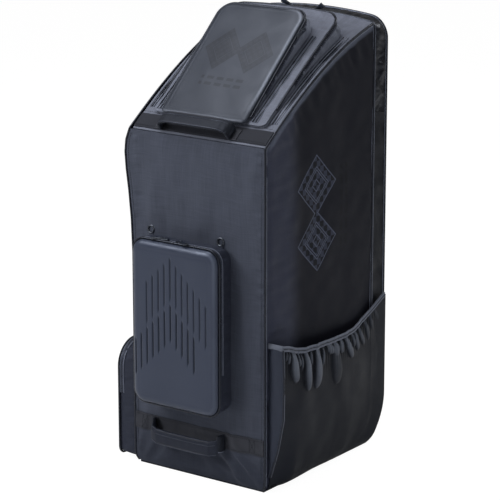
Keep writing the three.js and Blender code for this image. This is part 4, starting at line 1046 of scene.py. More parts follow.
POCKET_HALF = 105.5
POCKET_LENGTH = 341.0
POCKET_X = -127 + POCKET_HALF
POCKET_FOOT = 158
POCKET_STAND = 55
POCKET_PAD = 9.0
POCKET_RIM_Y = FRONT_Y - POCKET_STAND + POCKET_PAD
FRONT_POCKET = SimpleNamespace(
    half=POCKET_HALF, length=POCKET_LENGTH, low=27.0, high=27.0, thick=4.0, pad=POCKET_PAD, bevel=16.0,
    deepest=62.0,
    at=lambda a, b, lift: (POCKET_X + a, POCKET_RIM_Y - lift, POCKET_FOOT + b),
    clearance=lambda x, y, z: front_face(x, z) - y,
)

LEFT_FRONT_Y = FRONT_Y + 3
LEFT_REAR_Y = float(seam_y(12.0)) - 10
LEFT_MIDDLE = (LEFT_FRONT_Y + LEFT_REAR_Y) / 2
LEFT_RIM_X = -209.0
LEFT_FOOT = 12
LEFT_POCKET = SimpleNamespace(
    half=(LEFT_REAR_Y - LEFT_FRONT_Y) / 2, length=238.0, low=14.0, high=50.0, thick=CLOTH, pad=3.0,
    bevel=18.0, deepest=60.0,
    at=lambda a, b, lift: (LEFT_RIM_X - lift, LEFT_MIDDLE + a, LEFT_FOOT + b),
    clearance=lambda x, y, z: -x - side_reach(-1, y, z),
)


def rim(shape, share, start=0.0):
    """Place on a compartment's rim and the outward direction there, and the rim's length; 0 and 1
    are the middle of its low side, and the rim runs to the right, over the top and back."""
    half, low, high, length = shape.half, shape.low, shape.high, shape.length
    places = [(0.0, start, 0.0, -1.0)]
    corners = ((half - low, start + low, low, -math.pi / 2), (half - high, length - high, high, 0.0))
    for a, b, radius, turn in corners:
        for angle in turn + np.arange(13) * math.pi / 24:
            na, nb = math.cos(angle), math.sin(angle)
            places.append((a + radius * na, b + radius * nb, na, nb))
    places = np.array(places + [(0.0, length, 0.0, 1.0)])
    places = np.concatenate([places, places[::-1][1:] * np.array([-1, 1, -1, 1])])
    marks = run_length(places[:, :2])
    at = np.asarray(share) * marks[-1]
    a, b, na, nb = (np.interp(at, marks, places[:, column]) for column in range(4))
    size = np.hypot(na, nb)
    return a, b, na / size, nb / size, float(marks[-1])


def seat_depth(shape, a, b):
    """Depth below the rim surface at which a place meets what carries the compartment."""
    near, far = 0 * a, 0 * a + shape.deepest
    for _ in range(26):
        middle = (near + far) / 2
        free = shape.clearance(*shape.at(a, b, -middle)) > 0.1
        near, far = np.where(free, middle, near), np.where(free, far, middle)
    return near


def deep_part(shape, start, least):
    """Shares of the rim between which the gusset is at least this deep."""
    share = np.linspace(0, 1, 721)
    a, b, *_ = rim(shape, share, start)
    deep = np.nonzero(seat_depth(shape, a, b) > least)[0]
    return share[deep[0]], share[deep[-1]]


def pad_height(shape, a, b):
    """How far the padding stands at a place on a compartment's face, and the way to its rim."""
    radius = np.where(b < shape.length / 2, shape.low, shape.high)
    across = np.abs(a) - shape.half + radius
    along = np.abs(b - shape.length / 2) - shape.length / 2 + radius
    outside = np.hypot(np.maximum(across, 0), np.maximum(along, 0))
    distance = radius - outside - np.minimum(np.maximum(across, along), 0)
    share = clamp(distance / shape.bevel)
    return shape.pad * np.sqrt(1 - (1 - share) ** 2), distance


def crowded(share):
    """Moves evenly spaced places towards both ends, so that rounded edges get more of them."""
    centred = 2 * share - 1
    return mix(centred, np.sin(centred * math.pi / 2), 0.75) / 2 + 0.5


def face_place(shape, across, v):
    """Place on a compartment's face, whose rounded corners narrow its rows."""
    b = shape.length * crowded(v)
    radius = np.where(b < shape.length / 2, shape.low, shape.high)
    reach = clamp(radius - np.minimum(b, shape.length - b), 0, radius)
    half = shape.half - radius + np.sqrt(np.maximum(radius**2 - reach**2, 0))
    return (2 * across - 1) * half, b


def raised_place(shape, relief, columns=crowded):
    def place(u, v):
        a, b = face_place(shape, columns(u), v)
        height, distance = pad_height(shape, a, b)
        return shape.at(a, b, height + relief(a, b, distance))

    return place


def rim_line(shape, run, depth, out, count, lip=0.0):
    """Points along a rim at a depth and a distance out of it, with the outward directions."""
    a, b, na, nb, _ = rim(shape, np.linspace(*run, count), lip)
    points, further = (joined(*shape.at(a + step * na, b + step * nb, -depth)) for step in (out, out + 1))
    return points, further - points


def zip_teeth(name, points, out):
    """Two rows of teeth that meet along a line."""
    place, along, shares = spaced(points, 2.6)
    outward = unit(between(out, shares))
    shift = np.where(np.arange(len(place)) % 2 == 0, 0.7, -0.7)[:, None]
    teeth = place + shift * np.cross(unit(along), outward)
    return repeated(name, teeth, along, outward, (1.7, 2.6, 1.3), taper=0.75)


def corner_folds(shape, strength):
    """Fine wrinkles across a gusset, strongest where it turns a corner."""
    def folds(along, depth, bottom):
        _, _, na, nb, _ = rim(shape, along / rim(shape, 0.0)[-1])
        turning = smooth(np.minimum(np.abs(na), np.abs(nb)), 0.02, 0.3)
        fine = waves(along, depth, 13, 61, (1.0, 6.0)) + 0.5 * pleats(along, depth, 15, 62, (1.0, 8.0))
        return clamp(bottom / 18) * (1.2 + 1.7 * (0.35 + turning * strength) * fine)

    return folds


ZIP_TAPE = 9.6
ZIP_OUT = 0.6


def compartment(title, shape, look, strength, zip_part=(0.0, 1.0), lip=0.0):
    """Gusset and zip of a raised compartment; `lip` moves the rim's low side up its face."""
    gusset = f"{title}_gusset"
    low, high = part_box(gusset)
    about = tuple((low + high) / 2 / MM)
    top = shape.thick + 0.2
    start, stop = deep_part(shape, lip, top + 1.5)
    folds = corner_folds(shape, strength)

    def gusset_place(u, v):
        share = mix(start, stop, u)
        a, b, na, nb, total = rim(shape, share, lip)
        bottom = seat_depth(shape, a, b)
        depth = mix(bottom, np.minimum(top, bottom), v)
        out = np.sin(math.pi * v) * folds(share * total, depth, bottom)
        return shape.at(a + out * na, b + out * nb, -depth)

    made = cloth(f"{gusset}_cloth", 280, 16, gusset_place, 1.6, about, closed=start == 0)
    dress_sheet(made, look, "slate_cloth", [gusset])
    depth = shape.thick / 2 + SEAM
    start, stop = deep_part(shape, lip, depth + ZIP_TAPE - 0.1)
    run = max(start, zip_part[0]), min(stop, zip_part[1])

    def tape_place(u, v):
        a, b, na, nb, _ = rim(shape, mix(*run, u), lip)
        out = ZIP_OUT + 1.0 - 0.9 * hump(v, 0.5, 0.12)
        return shape.at(a + out * na, b + out * nb, -mix(depth + ZIP_TAPE, depth - 0.9, v))

    made = cloth(f"{title}_zip_tape", 280, 8, tape_place, 0.8, about)
    dress_sheet(made, TAPE, "zip", [f"{title}_zip"])
    line = rim_line(shape, run, depth + 4, ZIP_OUT + 0.7, 900, lip)
    dress(zip_teeth(f"{title}_zip_teeth", *line), TEETH, "zip")
    for edge, level, stand in (("upper", 0.1, 1.3), ("lower", 9.3, 1.1)):
        line = rim_line(shape, run, depth + level, ZIP_OUT + stand, 300, lip)
        dress(tube(f"{title}_zip_edge_{edge}", *line, 0.75, sides=6), PALE_TRIM, "zip")


def piping_round(title, shape, start=0.0):
    """Piping along a rim from this share of it to the same share before its end."""
    points, out = rim_line(shape, (start, 1 - start), shape.thick / 2, SEAM, 360)
    closed = start == 0
    if closed:
        points, out = points[:-1], out[:-1]
    dress(tube(f"{title}_cord", points, out, PIPING, closed), TRIM, "piping", f"{title}_piping")


def welts(title, shape, first, lines):
    """Folded edges of cloth beside a compartment's foot, lying on what carries it."""
    for side, start, stop in (("right", first, 0.37), ("left", 0.63, 1 - first)):
        rim_a, rim_b, na, nb, _ = rim(shape, np.linspace(start, stop, 160))
        for index, (out, radius, look) in enumerate(lines):
            a, b = rim_a + out * na, rim_b + out * nb
            deep = seat_depth(shape, a, b)
            across = joined(*shape.at(a + na, b + nb, -deep)) - joined(*shape.at(a, b, -deep))
            points = joined(*shape.at(a, b, radius * 0.5 - deep))
            dress(tube(f"{title}_{side}_welt_{index}", points, across, radius, sides=6), look, "piping")


# Middle compartment


def mid_relief(a, b, distance):
    return clamp(distance / 8) * (0.45 * waves(a, b, 40, 71) + 0.8 * pleats(a, b, 14, 72, (0.7, 2.8)))


made = cloth("mid_cloth", 80, 90, raised_place(MID, mid_relief))
dress_sheet(made, SHOULDER, "slate_cloth", ["mid_panel"])
compartment("mid", MID, GUSSET, 1.0)
piping_round("mid", MID, 0.155)
welts("mid", MID, 0.128, [(6.0, 1.0, PALE_TRIM), (9.0, 1.3, TRIM), (12.0, 0.8, PALE_TRIM), (15.5, 1.1, TRIM),
                          (19.5, 0.8, SEAM_TRIM)])

# Lid compartment


def lid_relief(a, b, distance):
    groove = -0.2 * hump(distance, 13.0, 2.0)
    dome = 1.4 * clamp(distance / 60) ** 0.8
    return groove + dome + clamp(distance / 10) * 0.25 * waves(a, b, 90, 73)


def lid_masks(u, v):
    """Where the lid's right bevel and upper corner catch the light."""
    a, b = face_place(LID, crowded(u), v)
    _, distance = pad_height(LID, a, b)
    right = smooth(a, 40, 92) * smooth(b, 10, 90)
    left = 0.35 * smooth(-a, 92, 99) * smooth(distance, 3, 1)
    return {"edge": right * hump(distance, 4.5, 2.6) * 0.8 + left}


made = cloth("lid_panel_face", 90, 110, raised_place(LID, lid_relief), 3.4, masks=lid_masks)
dress_sheet(made, SATIN, "satin_panel", ["lid_panel"])
compartment("lid", LID, GUSSET, 1.4, lip=20.0)
piping_round("lid", LID, 0.125)
welts("lid", LID, 0.118, [(6.5, 1.0, PALE_TRIM), (9.5, 1.3, TRIM), (12.5, 0.9, PALE_TRIM), (16.5, 0.8, TRIM),
                          (19.0, 0.7, PALE_TRIM)])

# Front pocket

SLIT_PITCH = 14.8
SLIT_MIDDLE = -7.5
# Slits left and right of the middle, and the height, length and depth of the row, as shares
CHEVRONS = [(4, 6, 0.93, 0.275, 0.7), (6, 4, 0.645, 0.24, 1.0)]


def slit_depth(a, b):
    """Share of a slit's depth at a place on the pocket's shell."""
    cut = 0 * a
    for left, right, apex, length, strength in CHEVRONS:
        for place in range(-left, right + 1):
            centre = SLIT_MIDDLE + place * SLIT_PITCH
            top = apex * POCKET_LENGTH - abs(place) * 14
            bottom = top - length * POCKET_LENGTH
            beside = clamp(1 - (np.abs(a - centre) / 1.9) ** 2)
            inside = smooth(b, bottom, bottom + 9) * smooth(b, top, top - 9)
            cut = np.maximum(cut, strength * beside * inside)
    return cut


def shell_marks():
    """Places of the shell's columns: crowded at its edges and beside the slits."""
    even = np.linspace(-POCKET_HALF, POCKET_HALF, 44)
    steps = (-2.6, -1.7, -0.8, 0, 0.8, 1.7, 2.6)
    slits = [SLIT_MIDDLE + place * SLIT_PITCH + step for place in range(-6, 7) for step in steps]
    insets = (0, 0.4, 1, 2, 3.5, 5.5, 8, 11, 14)
    edges = [sign * (POCKET_HALF - inset) for sign in (-1, 1) for inset in insets]
    marks = np.unique(np.round(np.concatenate([even, slits, edges]), 2))
    marks = marks[np.abs(marks) <= POCKET_HALF]
    keep = np.concatenate([[True], np.diff(marks) > 0.35])
    keep[-1] = True
    return marks[keep]


SHELL_MARKS = shell_marks()


def pocket_columns(u):
    return np.interp(u, np.linspace(0, 1, len(SHELL_MARKS)), SHELL_MARKS) / (2 * POCKET_HALF) + 0.5


def shell_relief(a, b, distance):
    groove = -0.35 * hump(distance, 17.0, 3.0)
    return groove - 3.0 * slit_depth(a, b) + 0.2 * clamp(distance / 20) * waves(a, b, 110, 74)


def shell_masks(u, v):
    a, b = face_place(FRONT_POCKET, pocket_columns(u), v)
    _, distance = pad_height(FRONT_POCKET, a, b)
    # Painted highlight on the shell's rounded upper right edge.
    right = smooth(a, 20, 90) * (0.45 + 0.55 * smooth(b, 200, 320))
    # The slit mask marks where the shade inside the slits is painted.
    return {"slit": slit_depth(a, b), "edge": 0.6 * right * hump(distance, 5.5, 3.5)}


shell = raised_place(FRONT_POCKET, shell_relief, pocket_columns)
made = cloth("front_pocket_shell", len(SHELL_MARKS) - 1, 140, shell, 2.6, (0, 0, 300), shell_masks)
dress_sheet(made, MOULDED, "moulded_panel", ["front_pocket_panel"])
compartment("front_pocket", FRONT_POCKET, LEFT_CLOTH, 0.5, (0.17, 0.83))
piping_round("front_pocket", FRONT_POCKET)

# Left pocket


def left_relief(a, b, distance):
    return clamp(distance / 12) * (1.2 * waves(a, b, 110, 75) + 0.4 * waves(a, b, 36, 76))


made = cloth("left_pocket_face", 80, 64, raised_place(LEFT_POCKET, left_relief), about=(0, 0, 130))
dress_sheet(made, LEFT_CLOTH, "dark_cloth", ["left_pocket_panel"])
compartment("left_pocket", LEFT_POCKET, LEFT_CLOTH, 0.6, (0.27, 0.73))
piping_round("left_pocket", LEFT_POCKET)

# Open elastic pocket on the right side

BELLY_AT = [0.0, 0.1, 0.3, 0.52, 0.76, 1.0]
BELLY = {
    "front": [0.0, 0.16, 0.62, 0.95, 0.97, 0.93],
    "fore": [0.42, 0.64, 0.84, 0.96, 0.93, 0.84],
    "mid": [0.22, 0.4, 0.55, 0.62, 0.62, 0.52],
    "rear": [0.04, 0.1, 0.16, 0.2, 0.2, 0.13],
}
HEM_AT = [0.0, 0.02, 0.07, 0.15, 0.37, 0.53, 0.69, 0.84, 0.92, 1.0]
HEM_HEIGHT_SHARE = [0.949, 0.949, 0.915, 0.884, 0.856, 0.847, 0.85, 0.904, 0.946, 1.0]
ELASTIC_Y = FRONT_Y + 10
ELASTIC_FOOT = FOOT_Z + GAP
ELASTIC_DEPTH = 40
MOUTH_HEIGHT = 333.0

# Gathers under the hem: place along it, half width, length, height and sideways drift as shares,
# and how much the cloth catches the light there.
GATHERS = [
    (0.02, 0.010, 0.07, 0.10, 0.0, 0.4),
    (0.045, 0.010, 0.09, 0.12, 0.0, 0.6),
    (0.085, 0.033, 0.215, 0.26, 0.012, 1.0),
    (0.128, 0.010, 0.10, 0.14, 0.002, 0.8),
    (0.15, 0.009, 0.13, 0.12, 0.0, 0.55),
    (0.185, 0.026, 0.29, 0.26, 0.022, 1.0),
    (0.24, 0.010, 0.11, 0.14, 0.0, 0.7),
    (0.30, 0.034, 0.30, 0.28, -0.012, 1.0),
    (0.355, 0.012, 0.14, 0.18, 0.004, 0.8),
    (0.43, 0.036, 0.085, 0.2, 0.012, 0.85),
    (0.475, 0.028, 0.11, 0.22, 0.01, 0.9),
    (0.47, 0.042, 0.335, 0.2, 0.02, 0.22),
    (0.525, 0.02, 0.11, 0.2, 0.02, 0.8),
    (0.585, 0.026, 0.19, 0.24, 0.05, 0.9),
    (0.64, 0.014, 0.12, 0.16, 0.03, 0.6),
    (0.67, 0.02, 0.17, 0.22, 0.05, 0.7),
    (0.73, 0.018, 0.18, 0.2, 0.05, 0.55),
    (0.79, 0.016, 0.18, 0.17, 0.045, 0.4),
    (0.845, 0.014, 0.14, 0.13, 0.04, 0.3),
    (0.9, 0.012, 0.12, 0.1, 0.03, 0.2),
]


def hem_z(share):
    """Height of the pocket's mouth, its table's corners rounded off."""
    steps = np.linspace(-0.05, 0.05, 7)
    heights = sum(np.interp(clamp(share + step), HEM_AT, HEM_HEIGHT_SHARE) for step in steps)
    return MOUTH_HEIGHT * heights / len(steps)


def right_wall(y, z):
    return np.where(y < seam_y(z), side_reach(1, y, z), HALF_WIDTH - edge_tuck(z))


def belly_depth(share, up):
    front, fore, mid, rear = (np.interp(up, BELLY_AT, column) for column in BELLY.values())
    depth = mix(front, fore, smooth(share, 0.0, 0.14))
    depth = np.where(share > 0.14, mix(fore, mid, smooth(share, 0.14, 0.5)), depth)
    depth = np.where(share > 0.5, mix(mid, rear, smooth(share, 0.5, 0.86)), depth)
    return np.where(share > 0.86, rear * (1 - share) / 0.14, depth)


def gathered(share, up):
    """Height of the gathers as a share of the pocket's depth, and how much light they catch."""
    height, light = 0 * share, 0 * share
    for at, width, length, rise, drift, glow in GATHERS:
        down = (1 - up) / length
        inside = down < 1
        down = clamp(down)
        centre = at + drift * down + 0.006 * np.sin(3.1 * down + 40 * at)
        swell = width * (0.45 + 0.6 * np.sin(math.pi * clamp(down * 0.66 + 0.04)))
        reach = swell * np.sqrt(clamp(1 - down**9))
        across = np.abs(share - centre) / np.maximum(reach, 1e-5)
        ridge = np.where(inside, np.sqrt(clamp(1 - across**2)), 0)
        body = ridge * (0.55 + 0.45 * smooth(down, 0.0, 0.35)) * np.sqrt(clamp(1 - down**6))
        height = np.maximum(height, rise * body)
        light = np.maximum(light, glow * smooth(ridge, 0.25, 1.0) * (0.55 + 0.45 * smooth(down, 1.0, 0.35)))
    return height, light


def elastic_up(v):
    """Share of the pocket's height, with more rows near its mouth."""
    return 1 - (1 - v) ** 1.35


def below_hem(share, up):
    return (1 - up) * (hem_z(share) - 10)


def elastic_stand(share, up):
    """How far the gathered cloth stands off the side, as a share of the pocket's depth."""
    lower = below_hem(share, up)
    height, _ = gathered(share, up)
    fine = 0.045 * np.sin(2 * math.pi * share * 47 + 3 * np.sin(11 * share)) * np.exp(-lower / 16)
    soft = 0.02 * waves(share * 370, up * 300, 90, 81) * smooth(lower, 20, 90)
    belly = belly_depth(share, up)
    return belly - 0.07 * np.exp(-lower / 9) + fine + soft + height * (0.35 + 0.65 * belly)


def elastic_place(u, v):
    up = elastic_up(v)
    z = mix(ELASTIC_FOOT, hem_z(u) - 9.2, up)
    y = mix(ELASTIC_Y, back_y(z) - SEAM, u)
    wall = right_wall(y, z) + GAP + CLOTH + SEAM * clamp((u - 0.5) / 0.15)
    curl = np.sqrt(clamp(up / 0.04))
    return wall + np.maximum(ELASTIC_DEPTH * elastic_stand(u, up) - PIPING, PIPING) * curl, y, z


def elastic_masks(u, v):
    up = elastic_up(v)
    # Painted highlight on the raised gathers, where they catch the light.
    _, light = gathered(u, up)
    # Painted shade in the pleats under the hem, between the gathers.
    dark = np.exp(-below_hem(u, up) / 55) * (1 - smooth(light, 0.0, 0.3)) * 0.95 * smooth(u, 1.0, 0.75)
    return {"gather": clamp(light), "pleat": clamp(dark)}


made = cloth("side_pocket_cloth", 330, 92, elastic_place, 1.2, (0, 0, 200), elastic_masks)
dress_sheet(made, POCKET_CLOTH, "dark_cloth", ["side_pocket_front"])


def elastic_corner(up):
    """Height, side wall and outer reach of the pocket's front corner."""
    z = mix(ELASTIC_FOOT, hem_z(0.0) - 9.35, up)
    wall = right_wall(ELASTIC_Y + 0 * z, z)
    return z, wall, wall + ELASTIC_DEPTH * belly_depth(0 * up, up)


def elastic_gusset_place(u, v):
    z, wall, reach = elastic_corner(mix(0.1, 1.0, v))
    end = np.maximum(reach - 1.4, wall + 2 * GAP)
    sag = 2.0 * np.sin(math.pi * u) + 0.5 * np.sin(math.pi * u) * waves(u * 30, z, 40, 83, (1.0, 1.5))
    return mix(wall + GAP, end, u), ELASTIC_Y - sag, z


made = cloth("side_pocket_gusset_cloth", 14, 80, elastic_gusset_place, 1.4, (180, -120, 200))
dress_sheet(made, POCKET_GUSSET, "dark_cloth", ["side_pocket_gusset"])

corner_z, _, corner_reach = elastic_corner(np.linspace(0.1, 1, 90))
cord = tube("side_pocket_cord", joined(corner_reach, ELASTIC_Y, corner_z), (0, 1, 0), 1.9, sides=8)
dress(cord, TRIM, "piping", "side_pocket_piping")
line = joined(corner_reach + 0.6, ELASTIC_Y + 2.3, corner_z)
dress(tube("side_pocket_cord_line", line, (0, 1, 0), 0.7, sides=6), PALE_TRIM, "piping")


def hem_path():
    """Middle line of the hem's binding, from the front corner's wall round to the rear."""
    _, wall, reach = elastic_corner(np.array([1.0]))
    start = [(wall[0] + 1, ELASTIC_Y), (reach[0] - 5, ELASTIC_Y - 0.5), (reach[0] - 1.5, ELASTIC_Y + 1.2)]
    share = np.linspace(0.025, 0.985, 320)
    x, y, _ = elastic_place(share, 1 + 0 * share)
    evened = np.convolve(np.pad(x, 6, mode="edge"), np.ones(13) / 13, mode="valid")
    flat = np.concatenate([np.array(start), joined(evened + 0.8, y)])
    high = hem_z(np.concatenate([[0, 0, 0.01], share])) - 5.2
    return np.concatenate([flat, high[:, None]], 1)


path = hem_path()
binding = tube("side_pocket_hem_binding", path, (0, 0, 1), 6.0, sides=14, flatten=0.42)
dress(binding, HEM, "hem", "side_pocket_hem")
along = np.gradient(path, axis=0)
out = unit(joined(along[:, 1], -along[:, 0], 0.0))
for title, rise, stand, radius, look in (
    ("groove", 0.3, 2.35, 0.9, DARK_THREAD),
    ("upper_line", 4.4, 1.7, 0.7, PALE_TRIM),
    ("lower_line", -4.4, 1.7, 0.6, PALE_TRIM),
):
    line = path + out * stand + np.array([0, 0, rise])
    dress(tube(f"side_pocket_hem_{title}", line[2:], (0, 0, 1), radius, sides=6), look, "hem")

# Webbing bands

BAND_LIFT = 2.2
LOW_BAND = (79, 113)
LOW_BAND_MIDDLE = sum(LOW_BAND) / 2


def band_top(u, v):
    y = mix(FRONT_Y + 2 * SEAM, BAND_END_Y, v)
    x = (2 * u - 1) * (HALF_WIDTH - SEAM)
    return on_shoulder(x, y, BAND_LIFT + 0.3 * waves(x, y, 60, 91) * clamp((HALF_WIDTH - np.abs(x)) / 20))


def band_low(u, v):
    z = mix(*LOW_BAND, v)
    x = front_x(2 * u - 1, z)
    return x, front_face(x, z) - BAND_LIFT, z


made = cloth("top_webbing", 160, 16, band_top, 1.7)
dress_sheet(made, TOP_WEBBING, "webbing", ["top_band"])
made = cloth("bottom_webbing", 160, 14, band_low, 1.7)
dress_sheet(made, WEBBING, "webbing", ["bottom_band"])

# Grab handles; a place on one is across it, up or down its band, and off the band

HANDLE_AT = [-0.5, -0.495, -0.46, -0.38, -0.2, 0.0, 0.2, 0.38, 0.46, 0.495, 0.5]
HANDLE_OFF = [0.0, 0.2, 0.75, 0.96, 1.0, 1.0, 1.0, 0.96, 0.75, 0.2, 0.0]
STRAP_WALL = 2.0
STRAP_TAB = 14


def on_top_band(across, wide, height):
    middle = (FRONT_Y + BAND_END_Y) / 2 - 1
    ny, nz = shoulder_normal(middle)
    off = 2.5 + height
    return across - 9, middle + wide * nz + off * ny, float(shoulder_z(middle)) - wide * ny + off * nz


def on_low_band(across, wide, height):
    x = across - 18
    return x, front_y(x, LOW_BAND_MIDDLE) - 2.9 - height, LOW_BAND_MIDDLE + wide


def handle_line(handle, thick, place):
    at = np.interp(place, np.linspace(-0.5, 0.5, 11), HANDLE_AT)
    off = np.interp(at, HANDLE_AT, HANDLE_OFF)
    return at * handle.length, -handle.droop * off, off * (handle.rise - thick) + thick / 2 + 0.6


def sleeve(handle):
    """Padded sleeve of a grab handle, sewn along its lower edge and gathered at both ends."""
    def place(u, v):
        share = (2 * u - 1) * 0.46
        across, sag, height = handle_line(handle, handle.thick, share)
        ahead, _, higher = handle_line(handle, handle.thick, share + 0.004)
        slope = np.arctan2(higher - height, ahead - across)
        cosine, sine = np.cos(2 * math.pi * v), np.sin(2 * math.pi * v)
        end = np.abs(u - 0.5)
        fill = 0.62 + 0.38 * smooth(0.5 - end, 0.0, 0.06)
        ripple = 0.4 * waves(u * handle.length, v * 60, 16, 95, (1.0, 3.0)) * (0.5 + hump(end, 0.5, 0.12))
        wide = (handle.strap / 2 + 0.4 * ripple) * np.sign(cosine) * np.abs(cosine) ** 0.75
        high = (handle.thick / 2 * fill + ripple * 0.5) * np.sign(sine) * np.abs(sine) ** 0.8
        return handle.at(across - high * np.sin(slope), wide + sag, height + high * np.cos(slope))

    obj, *_ = cloth(f"{handle.title}_sleeve", 110, 36, place, wall=0, closed=True)
    edit_whole(obj, (bpy.ops.mesh.fill_holes, {"sides": 0}))
    face_out(obj)
    smooth_faces(obj, 50)
    return obj


def strap_piece(handle):
    """Webbing strap that lies on the band at both ends and runs up into the sleeve."""
    def place(u, v):
        along = (2 * u - 1) * (0.5 + STRAP_TAB / handle.length)
        share = clamp(along, -0.5, 0.5)
        across, sag, height = handle_line(handle, STRAP_WALL, share)
        across = across + (along - share) * handle.length
        return handle.at(across, (2 * v - 1) * (handle.strap - 3) / 2 + sag, height)

    return cloth(f"{handle.title}_webbing", 160, 8, place, 1.6)


for handle in (
    SimpleNamespace(title="top_handle", at=on_top_band, length=172, rise=29, droop=0, strap=30, thick=9,
                    look=HANDLE, band="top_band"),
    SimpleNamespace(title="bottom_handle", at=on_low_band, length=176, rise=30, droop=15, strap=32, thick=9,
                    look=LOW_HANDLE, band="bottom_band"),
):
    grip = dress(sleeve(handle), handle.look, "handle_cloth", handle.title)
    across, sag, height = handle_line(handle, handle.thick, np.linspace(-0.44, 0.44, 90))
    for index, (wide, lift, radius) in enumerate(((-0.46, 0.36, 0.8), (0.46, 0.3, 0.8), (0.2, 0.52, 0.6))):
        line = joined(*handle.at(across, wide * handle.strap + sag, height + lift * handle.thick))
        seam = tube(f"{handle.title}_seam_{index}", line, (0, 0, 1), radius, sides=6)
        dress(seam, SEAM_TRIM, "handle_cloth")
    dress_sheet(strap_piece(handle), WEBBING, "webbing", [])


def added(make, **values):
    """Adds a plain shape."""
    make(**values)
    bpy.ops.object.transform_apply(location=True, rotation=True, scale=True)
    return bpy.context.object


def named(obj, name):
    obj.name = obj.data.name = name
    return obj


def handle_tab(name, frame_at, across, wide, size, lean):
    """Folded end of a handle's webbing, a rounded loop standing beside the sleeve."""
    tab = named(added(bpy.ops.mesh.primitive_cylinder_add, vertices=40, radius=0.5, depth=1), name)
    apply_modifier(tab, "BEVEL", width=0.12, segments=4, limit_method="ANGLE")
    thick, width, height = size
    for point in tab.data.vertices:
        x, y, z = point.co
        place = frame_at(across + thick * x + lean * y * height, wide + width * z, height / 2 + height * y)
        point.co = Vector([float(part) for part in place]) * MM
    face_out(tab)
    smooth_faces(tab, 45)
    dress(tab, HANDLE, "handle_cloth")


turn = np.arange(40) * 2 * math.pi / 40
ring = joined(*on_low_band(86 + 4.4 * np.cos(turn), -3 - 17.2, 11 + 9 * np.sin(turn)))
tab_rim = tube("bottom_handle_tab_rim", ring, (0, 0, 1), 0.8, True, 6)
dress(tab_rim, PALE_TRIM, "handle_cloth")
handle_tab("top_handle_tab_right", on_top_band, 84, -1, (7, 30, 21), -0.15)
handle_tab("top_handle_tab_left", on_top_band, -84, -1, (7, 30, 19), 0.15)
handle_tab("bottom_handle_tab_right", on_low_band, 86, -3, (11, 33, 22), -0.1)
handle_tab("bottom_handle_tab_left", on_low_band, -87, 0, (8, 31, 15), 0.2)

# Zip pulls and rings

TAG_START = 0.0037
TAG_LENGTH = 0.019


def pull_shape():
    """Slider with a bridge and a hanging tag, standing on z = 0 with its tag towards +X, in metres."""
    cube, torus = bpy.ops.mesh.primitive_cube_add, bpy.ops.mesh.primitive_torus_add
    slider = added(cube, size=1, location=(0, 0, 0.0018), scale=(0.012, 0.0086, 0.0034))
    apply_modifier(slider, "BEVEL", width=0.0009, segments=3)
    bridge = added(torus, major_radius=0.0022, minor_radius=0.0005, major_segments=20, minor_segments=8,
                   location=(0.0006, 0, 0.0029), rotation=(math.pi / 2, 0, 0))
    middle = TAG_START + TAG_LENGTH / 2
    tag = added(cube, size=1, location=(middle, 0, 0.0036), scale=(TAG_LENGTH, 0.0072, 0.0026))
    edit_whole(tag, (bpy.ops.mesh.subdivide, {"number_cuts": 3}))
    for point in tag.data.vertices:
        share = (point.co.x - TAG_START) / TAG_LENGTH
        point.co.y *= 0.72 + 0.5 * share
        point.co.z += 0.0004 * math.sin(math.pi * share)
    apply_modifier(tag, "BEVEL", width=0.0004, segments=2)
    apply_modifier(tag, "SUBSURF", levels=1, render_levels=1)
    only(slider)
    for part in (bridge, tag):
        part.select_set(True)
    bpy.ops.object.join()
    smooth_faces(slider, 40)
    return slider


PULL = pull_shape()


def pull_at(node_name, shape, a, b, na, nb, turn, standing, size):
    """Copies the pull to its place on a compartment's zip, its tag along the rim."""
    depth = shape.thick / 2 + SEAM + 4
    out = 2 * GAP + 1.4

    def at(da, db, lift):
        return Vector([float(part) for part in shape.at(a + da, b + db, lift)])

    origin = at(out * na, out * nb, -depth)
    up = (at((out + 1) * na, (out + 1) * nb, -depth) - origin).normalized()
    along = at(out * na - turn * nb, out * nb + turn * na, -depth) - origin
    upright = at(out * na, out * nb, 1 - depth) - origin
    along = along * (1 - standing) + upright * standing
    along = (along - up * along.dot(up)).normalized()
    obj = PULL.copy()
    obj.data = PULL.data.copy()
    bpy.context.scene.collection.objects.link(named(obj, node_name.replace("_pull", "_puller")))
    turned = Matrix((along, up.cross(along), up)).transposed().to_4x4()
    obj.data.transform(Matrix.Translation(origin * MM) @ turned @ Matrix.Scale(size, 4))
    dress(obj, METAL, "pull_metal", node_name)


for name, shape, at, turn, standing, size in (
    ("mid_zip_pull_left", MID, 0.12, 1, 0.42, 1.35),
    ("mid_zip_pull_right", MID, 0.5, -1, 0.42, 1.35),
    ("front_pocket_pull_left", FRONT_POCKET, -0.3, 1, 0.25, 1.3),
    ("front_pocket_pull_right", FRONT_POCKET, 0.05, -1, 0.35, 1.3),
    ("left_pocket_pull", LEFT_POCKET, 0.2, -1, 0.0, 1.0),
):
    pull_at(name, shape, at * shape.half, shape.length, 0, 1, turn, standing, size)
pull_at("lid_zip_pull", LID, LID.half, 0.86 * LID.length, 1, 0, -1, 0.3, 1.2)
bpy.data.objects.remove(PULL)


